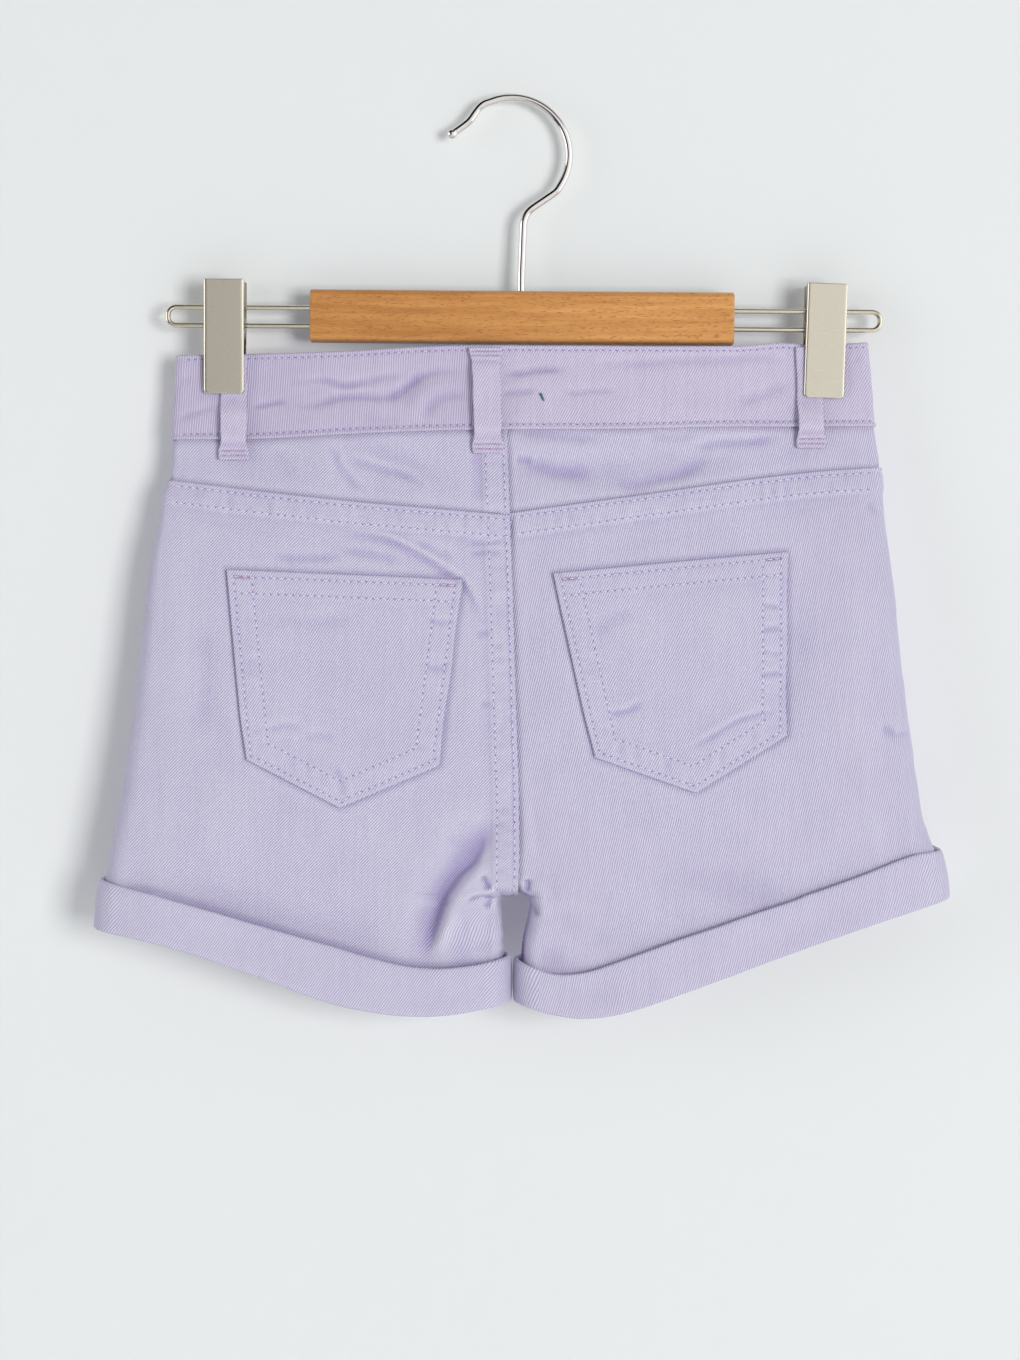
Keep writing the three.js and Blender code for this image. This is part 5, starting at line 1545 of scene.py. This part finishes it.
def sew_pocket(side):
    """The rows round a pocket and across its top, and the tacks at its upper corners."""
    top_near, top_far, side_near, side_far = POCKET_ROWS.values()
    tack_length = 6.5

    def ring(inset, top_inset):
        insets = [top_inset, inset, inset, inset, inset]
        corners = [inset_corner(side, k - 1, k, insets[k - 1], insets[k]) for k in (0, 4, 3, 2, 1)]
        return np.array(corners)

    def across(top_inset):
        return ring(side_near, top_inset)[[0, -1]]

    high = pocket_heights(side)[0]
    rings = [ring(side_near, top_near), ring(side_far, top_near), across(top_near), across(top_far)]
    sew(f"stitches_pocket_{side}", "back", rings, high, STITCH["pocket"])
    tacks = []
    for top_inset in (top_near - 0.3, top_near + 0.5):
        first, last = across(top_inset)
        way = tack_length * unit(last - first)
        tacks += [[first, first + way], [last - way, last]]
    sew(f"tacks_pocket_{side}", "back", tacks, high, STITCH["tack"], PINK_THREAD, TACK_SHARE)


def sew_front():
    """The waistband's rows, the centre seam's, and those that hold the fly."""
    ends = {
        "left": (side_fold["left"](100.0) + 2, LAP["to"] - 2, lap_lift),
        "right": (LAP["to"] + 1, side_fold["right"](100.0) - 2, no_lift),
    }
    for side, (start, end, lift) in ends.items():
        sew(f"stitches_waistband_front_{side}", "front", [
            level_line(lambda x: band_top["front"](x) + BAND["row"], start, end),
            level_line(lambda x: band_seam["front"](x) - BAND["row"], start, end),
        ], band_heights("front", lift)[0], STITCH["waistband"])
    foot = band_seam["front"](0.0) + FLY["foot"]
    lines = [upright_line(lambda d: centre_front(d) - row, foot + 3, 312) for row in CENTRE_ROWS]
    sew("stitches_centre_front", "front", lines, lambda x, d: 0 * x, STITCH["yoke"])
    t = np.linspace(0.01, 0.97, 120)
    edges = [fly_far_edge(t) + inset for inset in (2.0, 8.0)]
    lines = [np.stack([x, band_seam["front"](x) + SEAM_GAP + t * FLY["foot"]], 1) for x in edges]
    sew("stitches_fly", "front", lines, flat_heights(FLY["gap"] + FLY["wall"], 0)[0], STITCH["pocket"])
    hole = [[(-10, BUTTON["drop"] + off), (-1, BUTTON["drop"] + off)] for off in (-1.1, 1.1)]
    sew("stitches_buttonhole", "front", hole, band_heights("front", lap_lift)[0], 0.9, THREAD, 0.9)


def loose_thread():
    """A short dark blue end of thread that clings to the waistband."""
    places = smooth_line([(11.3, 117.6), (11.9, 118.2), (12.2, 119.2), (12.9, 120.4)], 0.3)
    high = band_heights("back")[0]
    path, _ = on_cloth("back", places, lambda x, d: high(x, d) + 0.3)
    points, faces = wire_mesh(path, np.linspace(0.5, 0.3, len(path)), 10)
    new_object("loose_thread", points, faces, BLUE_THREAD, "thread")


def garment():
    waistband_back()
    for side in BOTH:
        waistband_front(side)
        yoke(side)
        pocket(side)
        for layer in LAYERS:
            leg_panel(layer, side)
            cuff(layer, side)
    fly()
    for loop in LOOPS:
        belt_loop(*loop)
    sew_waistband()
    sew_centre()
    for side in BOTH:
        sew_yoke(side)
        sew_pocket(side)
    sew_front()
    loose_thread()
    button()


# ------------------------------------------------------------------------------------------ hanger
def turned(points, degrees, move):
    """Points turned about Y, then moved."""
    a = math.radians(degrees)
    x, y, z = np.moveaxis(np.asarray(points, float), -1, 0)
    return np.stack([x * math.cos(a) + z * math.sin(a), y, z * math.cos(a) - x * math.sin(a)], -1) + move


def on_hanger(points):
    return turned(points, HANGER["tilt"], (HANGER["x"], 0, -HANGER["drop"]))


def wire_mesh(path, radii, sides=20):
    """A round wire along a path near the plane of X and Z, with a radius at each place."""
    way = unit(np.gradient(path, axis=0))
    across = np.stack([way[:, 2], 0 * way[:, 0], -way[:, 0]], 1)
    angle = circle(sides)[None, :, None]
    ring = np.cos(angle) * across[:, None] + np.sin(angle) * np.array([0, 1.0, 0])
    points = (path[:, None] + np.asarray(radii)[:, None, None] * ring).reshape(-1, 3)
    return points, facing_away(points, ring_faces(len(path), sides))


def flat_path(places):
    """Places as x and z, put in the plane y = 0."""
    places = np.asarray(places, float)
    return np.stack([places[:, 0], 0 * places[:, 0], places[:, 1]], 1)


def hook():
    """A leaning stem, a bend, most of a circle, and a tip that flares out to a ball."""
    r, wire, ball = HOOK["bend_radius"], HOOK["wire"] / 2, HOOK["ball_radius"]
    stem = [(3.8, -88.2), (3.85, -79), (3.9, -70), (4.25, -61), (4.6, -52), (5.0, -47.6), (7.2, -43.6),
            (13.6, -39)]
    bend = [(r * math.cos(a), wire - r + r * math.sin(a)) for a in np.radians(np.arange(-40, 113, 8))]
    tip = [(-11.2, -1.0), (-13.3, -2.9), (-15.0, -5.2), (-16.7, -7.6), (-19.0, -9.6), (-23.8, -13.0)]
    line = flat_path(smooth_line(stem + bend + tip, 0.9))
    way = unit(line[-1] - line[-2])
    beyond = ball * np.sin(np.linspace(-math.acos(wire / ball), math.pi / 2 - 0.06, 12))
    line = line[np.linalg.norm(line - line[-1], axis=1) > -beyond[0] + 0.3]
    end = flat_path([tip[-1]])[0]
    path = np.concatenate([line, end + way * beyond[:, None]])
    radii = np.concatenate([np.full(len(line), wire), np.sqrt(ball**2 - beyond**2)])
    points, faces = wire_mesh(path, radii, 28)
    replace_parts(new_object("hook_wire", points, faces, CHROME, "chrome"), "hook")


def wire_loop(side):
    """A long wire loop that leaves one end of the bar, turns back and returns into it."""
    inwards = 1 if side == "left" else -1
    reach = WIRE_REACH[side] + inwards * WIRE["diameter"] / 2
    start = BAR_ENDS[side] + inwards * WIRE["seat"]
    r = WIRE["bend"]
    turn = reach + inwards * r
    quarter = np.linspace(0, np.pi / 2, 9)
    upper = [(turn - inwards * r * math.sin(a), WIRE["upper"] - r * (1 - math.cos(a))) for a in quarter]
    lower = [(turn - inwards * r * math.cos(a), WIRE["lower"] + r * (1 - math.sin(a))) for a in quarter]
    run = np.linspace(start, turn, 24)[:-1]
    places = [(x, WIRE["upper"]) for x in run] + upper + lower + [(x, WIRE["lower"]) for x in run[::-1]]
    points, faces = wire_mesh(flat_path(places), np.full(len(places), WIRE["diameter"] / 2))
    name = f"wire_loop_{side}"
    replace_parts(new_object(f"{name}_wire", on_hanger(points), faces, WIRE_METAL, "chrome"), name)


def bent_sheet(foot, top, inwards, jaw, top_y):
    """A clip's plate: its long edges bend inwards along the handle, and its foot's corners are round."""
    height, bend = top - foot, CLIP["bend"]
    z = foot + height * graded(height, edge_steps(3, 0.4, 0.4), edge_steps(3, 0.4, 0.4), 0.9)
    bent = smoothstep(z, FLANGE_FOOT - 3, FLANGE_FOOT + 1.5)
    radius = lerp(CLIP["sheet"] / 2, bend, bent)
    straight = lerp(0.05, CLIP["flange"] - bend, bent)
    corner = CLIP["corner"]
    reach = CLIP_WIDTH / 2 - corner * (1 - quarter_round((z - foot) / corner))
    face = reach - radius - CLIP["sheet"] / 2
    on_face, on_bend = np.linspace(0, 1, 12)[:-1], np.linspace(0, 1, 9)
    on_flange = np.linspace(0, 1, 7)[1:]
    sections = []
    turn = on_bend * math.pi / 2
    for f, r, length in zip(face, radius, straight):
        x = np.concatenate([f * on_face, f + r * np.sin(turn), f + r + 0 * on_flange])
        y = np.concatenate([0 * on_face, r * (1 - np.cos(turn)), r + length * on_flange])
        facing = np.concatenate([0 * on_face, turn, math.pi / 2 + 0 * on_flange])
        sections.append(np.stack([x, y, facing]))
    half_grid = np.stack(sections, 1)
    mirror = half_grid[:, :, :0:-1] * np.array([-1, 1, -1])[:, None, None]
    x, y, facing = np.concatenate([mirror, half_grid], 2)
    lean = (top_y - jaw) / height
    base_y = jaw - CLIP["sheet"] / 2 + lean * (z - foot)
    middle = np.stack([x, base_y[:, None] + inwards * y, z[:, None] + 0 * x], -1)
    out = np.stack([np.sin(facing), -inwards * np.cos(facing), 0 * facing], -1)
    thick = CLIP["sheet"] / 2 * quarter_round(edge_distance(middle) / 0.4)
    return wall_mesh(middle + out * thick[..., None], middle - out * thick[..., None])


def ear(x_middle, way):
    """A round ear on the wire, with an arm that reaches to its plate."""
    angle = circle(48)
    cosine, sine = np.cos(angle), np.maximum(np.abs(np.sin(angle)), 1e-6)
    to_end = EAR["reach"] / np.maximum(cosine, 0.05)
    arm = np.where(cosine > 0.05, np.minimum(to_end, EAR["half_arm"] / sine), 0)
    outer, half = np.maximum(EAR["radius"], arm), CLIP["sheet"] / 2
    rings = [(-half, EAR["hole"]), (-half, outer), (half, outer), (half, EAR["hole"])]
    points = np.concatenate([
        np.stack([0 * angle + x_middle + x, way * r * cosine, r * np.sin(angle)], 1) for x, r in rings])
    index = np.arange(len(points)).reshape(len(rings), -1)
    index = np.concatenate([index, index[:1]])
    index = np.concatenate([index, index[:, :1]], 1)
    faces = grid_faces(len(rings) + 1, len(angle) + 1, index).tolist()
    return points, facing_away(points, faces)


def clip_plate(side, which):
    plate = PLATES[which]
    foot = CLIP["top"] - CLIP["height"] - WIRE["lower"]
    top = CLIP["top"] - WIRE["lower"]
    points, faces = bent_sheet(foot, top, plate["inwards"], plate["jaw"], plate["top"])
    faces = facing_away(points, faces.tolist())
    for edge in (-1, 1):
        x = edge * (CLIP_WIDTH / 2 - CLIP["sheet"] / 2 - plate["ear_inset"])
        more, more_faces = ear(x, -plate["inwards"])
        faces += [[i + len(points) for i in face] for face in more_faces]
        points = np.concatenate([points, more])
    points = turned(points, CLIPS[side]["lean"], (CLIPS[side]["x"] - HANGER["x"], 0, WIRE["lower"]))
    name = f"clip_{which}_{side}"
    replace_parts(new_object(f"{name}_plate", on_hanger(points), faces, PLATE_METAL[which], "nickel"), name)


def button():
    """A shank button with a raised rim and a shallow dish."""
    r, height = BUTTON["radius"], BUTTON["height"]
    profile = [
        (0.02, 0), (r * 0.4, 0), (r * 0.45, 0.2), (r * 0.45, 1), (r - 0.7, 1), (r - 0.2, 1.2), (r, 1.6),
        (r - 0.1, 2.2), (r - 0.6, 2.65), (r - 1.1, 2.6), (r - 1.6, 2.2), (r - 2.4, 2.25), (r * 0.45, 2.7),
        (r * 0.2, 2.95), (0.02, height - 0.2),
    ]
    line = smooth_line(profile, 0.3)
    angle = circle(56)
    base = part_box("button")[0][1] / MM
    across, up = np.cos(angle), np.sin(angle)
    rings = [
        np.stack([BUTTON["x"] + wide * across, base + h + 0 * angle, wide * up - BUTTON["drop"]], 1)
        for wide, h in line
    ]
    points = np.concatenate(rings)
    faces = facing_away(points, ring_faces(len(rings), len(angle)))
    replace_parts(new_object("button_shank", points, faces, NICKEL, "nickel"), "button")


def finish_node(name, material):
    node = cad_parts[name]
    node.data.materials.clear()
    node.data.materials.append(material)


def hanger():
    finish_node("hanger_bar", WOOD)
    hook()
    for side in BOTH:
        wire_loop(side)
        clip_plate(side, "front")
        clip_plate(side, "rear")
        finish_node(f"clip_barrel_{side}", NICKEL)


# ------------------------------------------------------------------------------------------- stage
CAMERA_DISTANCE = 1.32
VIEW_HEIGHT = 0.544
VIEW_CENTRE = (-0.0006, -0.2314)
SENSOR = 36.0
WALL = {"at_hook": 0.0070, "lean": 0.052}  # behind the hook's crown, and how much more per metre down
FLOOR_Z = -1.9
ROOM_LIGHT = (0.375, 0.38, 0.40, 1)
LAMPS = {  # place, size and power
    "key": ((2.0, -3.68, -0.38), (1.35, 1.6), 100),
    "fill": ((-2.6, -1.3, 0.0), (1.8, 1.8), 17),
    "back_fill": ((0.6, 1.9, 0.4), (1.6, 1.6), 22),
}


def plane(name, corners, material):
    mesh = bpy.data.meshes.new(name)
    mesh.from_pydata(corners, [], [(0, 1, 2, 3)])
    mesh.materials.append(material)
    linked(name, mesh)


def one_sided(material):
    """Lets the wall be seen only from the garment's side, and lets lamps shine through it."""
    tree = material.node_tree
    output = tree.nodes["Material Output"]
    shader = tree.nodes["Principled BSDF"]
    clear = add_node(tree, "ShaderNodeBsdfTransparent").outputs[0]
    behind = add_node(tree, "ShaderNodeNewGeometry").outputs["Backfacing"]
    lamp = add_node(tree, "ShaderNodeLightPath").outputs["Is Shadow Ray"]
    either = calc(tree, "MAXIMUM", behind, lamp)
    mix = add_node(tree, "ShaderNodeMixShader", {0: either, 1: shader.outputs[0], 2: clear})
    tree.links.new(mix.outputs[0], output.inputs["Surface"])


def stage():
    """The wall behind the shorts, which leans a little, and the floor far below."""
    wall = plain("wall_paint", (0.79, 0.805, 0.795), 0.9, 2.5, 0.02)
    one_sided(wall)
    wide, high, near, far = 3.0, 2.2, -5, 3

    def level_row(y, z):
        return [(-wide, y, z), (wide, y, z)]

    top, foot = (WALL["at_hook"] - WALL["lean"] * z for z in (high, FLOOR_Z))
    plane("backdrop", level_row(foot, FLOOR_Z) + level_row(top, high)[::-1], wall)
    floor = plain("floor_paint", (0.80, 0.81, 0.80))
    plane("floor", level_row(near, FLOOR_Z) + level_row(far, FLOOR_Z)[::-1], floor)


def area_light(name, location, target, size, power):
    data = bpy.data.lights.new(name, "AREA")
    data.shape = "RECTANGLE"
    data.size, data.size_y = size
    data.energy = power
    lamp = linked(name, data)
    lamp.location = location
    way = Vector(target) - Vector(location)
    lamp.rotation_euler = way.to_track_quat("-Z", "Y").to_euler()
    return lamp


def lamps():
    """The key lamp, which the metal doesn't mirror, and two fills."""
    for name, (place, size, power) in LAMPS.items():
        lamp = area_light(name, place, (0, 0, VIEW_CENTRE[1]), size, power)
        lamp.visible_glossy = name != "key"


def room():
    """An even room light, and in its place the bright and dark walls that the metal mirrors."""
    world = bpy.data.worlds.new("studio")
    world.use_nodes = True
    tree = world.node_tree
    way = add_node(tree, "ShaderNodeTexCoord").outputs["Generated"]
    left_right, _, up = parts_of(tree, way)
    dim, bright = (0.05, 0.045, 0.05), (0.72, 0.71, 0.69)
    glare, window = (0.98, 0.97, 0.94), (1.6, 1.6, 1.6)
    place = calc(tree, "MULTIPLY_ADD", left_right, 0.5, 0.5)
    walls = ramp(
        tree, place, (0.06, *bright), (0.10, *dim), (0.43, *dim), (0.455, *bright), (0.54, *glare),
        (0.80, *glare), (0.86, *window))
    height = calc(tree, "MULTIPLY_ADD", up, 0.5, 0.5)
    shaded = ramp(
        tree, height, (0.08, 0.08, 0.08, 0.08), (0.2, 1, 1, 1), (0.74, 1, 1, 1), (0.82, 0.1, 0.1, 0.1))
    mirrored = add_node(
        tree, "ShaderNodeMix", {0: 1.0, 6: walls, 7: shaded}, data_type="RGBA", blend_type="MULTIPLY")
    in_metal = add_node(tree, "ShaderNodeLightPath").outputs["Is Glossy Ray"]
    sky = add_node(tree, "ShaderNodeMix", {0: in_metal, 7: mirrored.outputs[2]}, data_type="RGBA")
    sky.inputs[6].default_value = ROOM_LIGHT
    tree.links.new(sky.outputs[2], tree.nodes["Background"].inputs[0])
    bpy.context.scene.world = world


def camera():
    data = bpy.data.cameras.new("camera")
    data.sensor_width = SENSOR
    data.lens = SENSOR * CAMERA_DISTANCE / VIEW_HEIGHT
    eye = linked("camera", data)
    eye.location = (VIEW_CENTRE[0], -CAMERA_DISTANCE, VIEW_CENTRE[1])
    eye.rotation_euler = (math.pi / 2, 0, 0)
    bpy.context.scene.camera = eye
    bpy.context.scene.view_settings.view_transform = "Standard"


garment()
hanger()
stage()
lamps()
room()
camera()
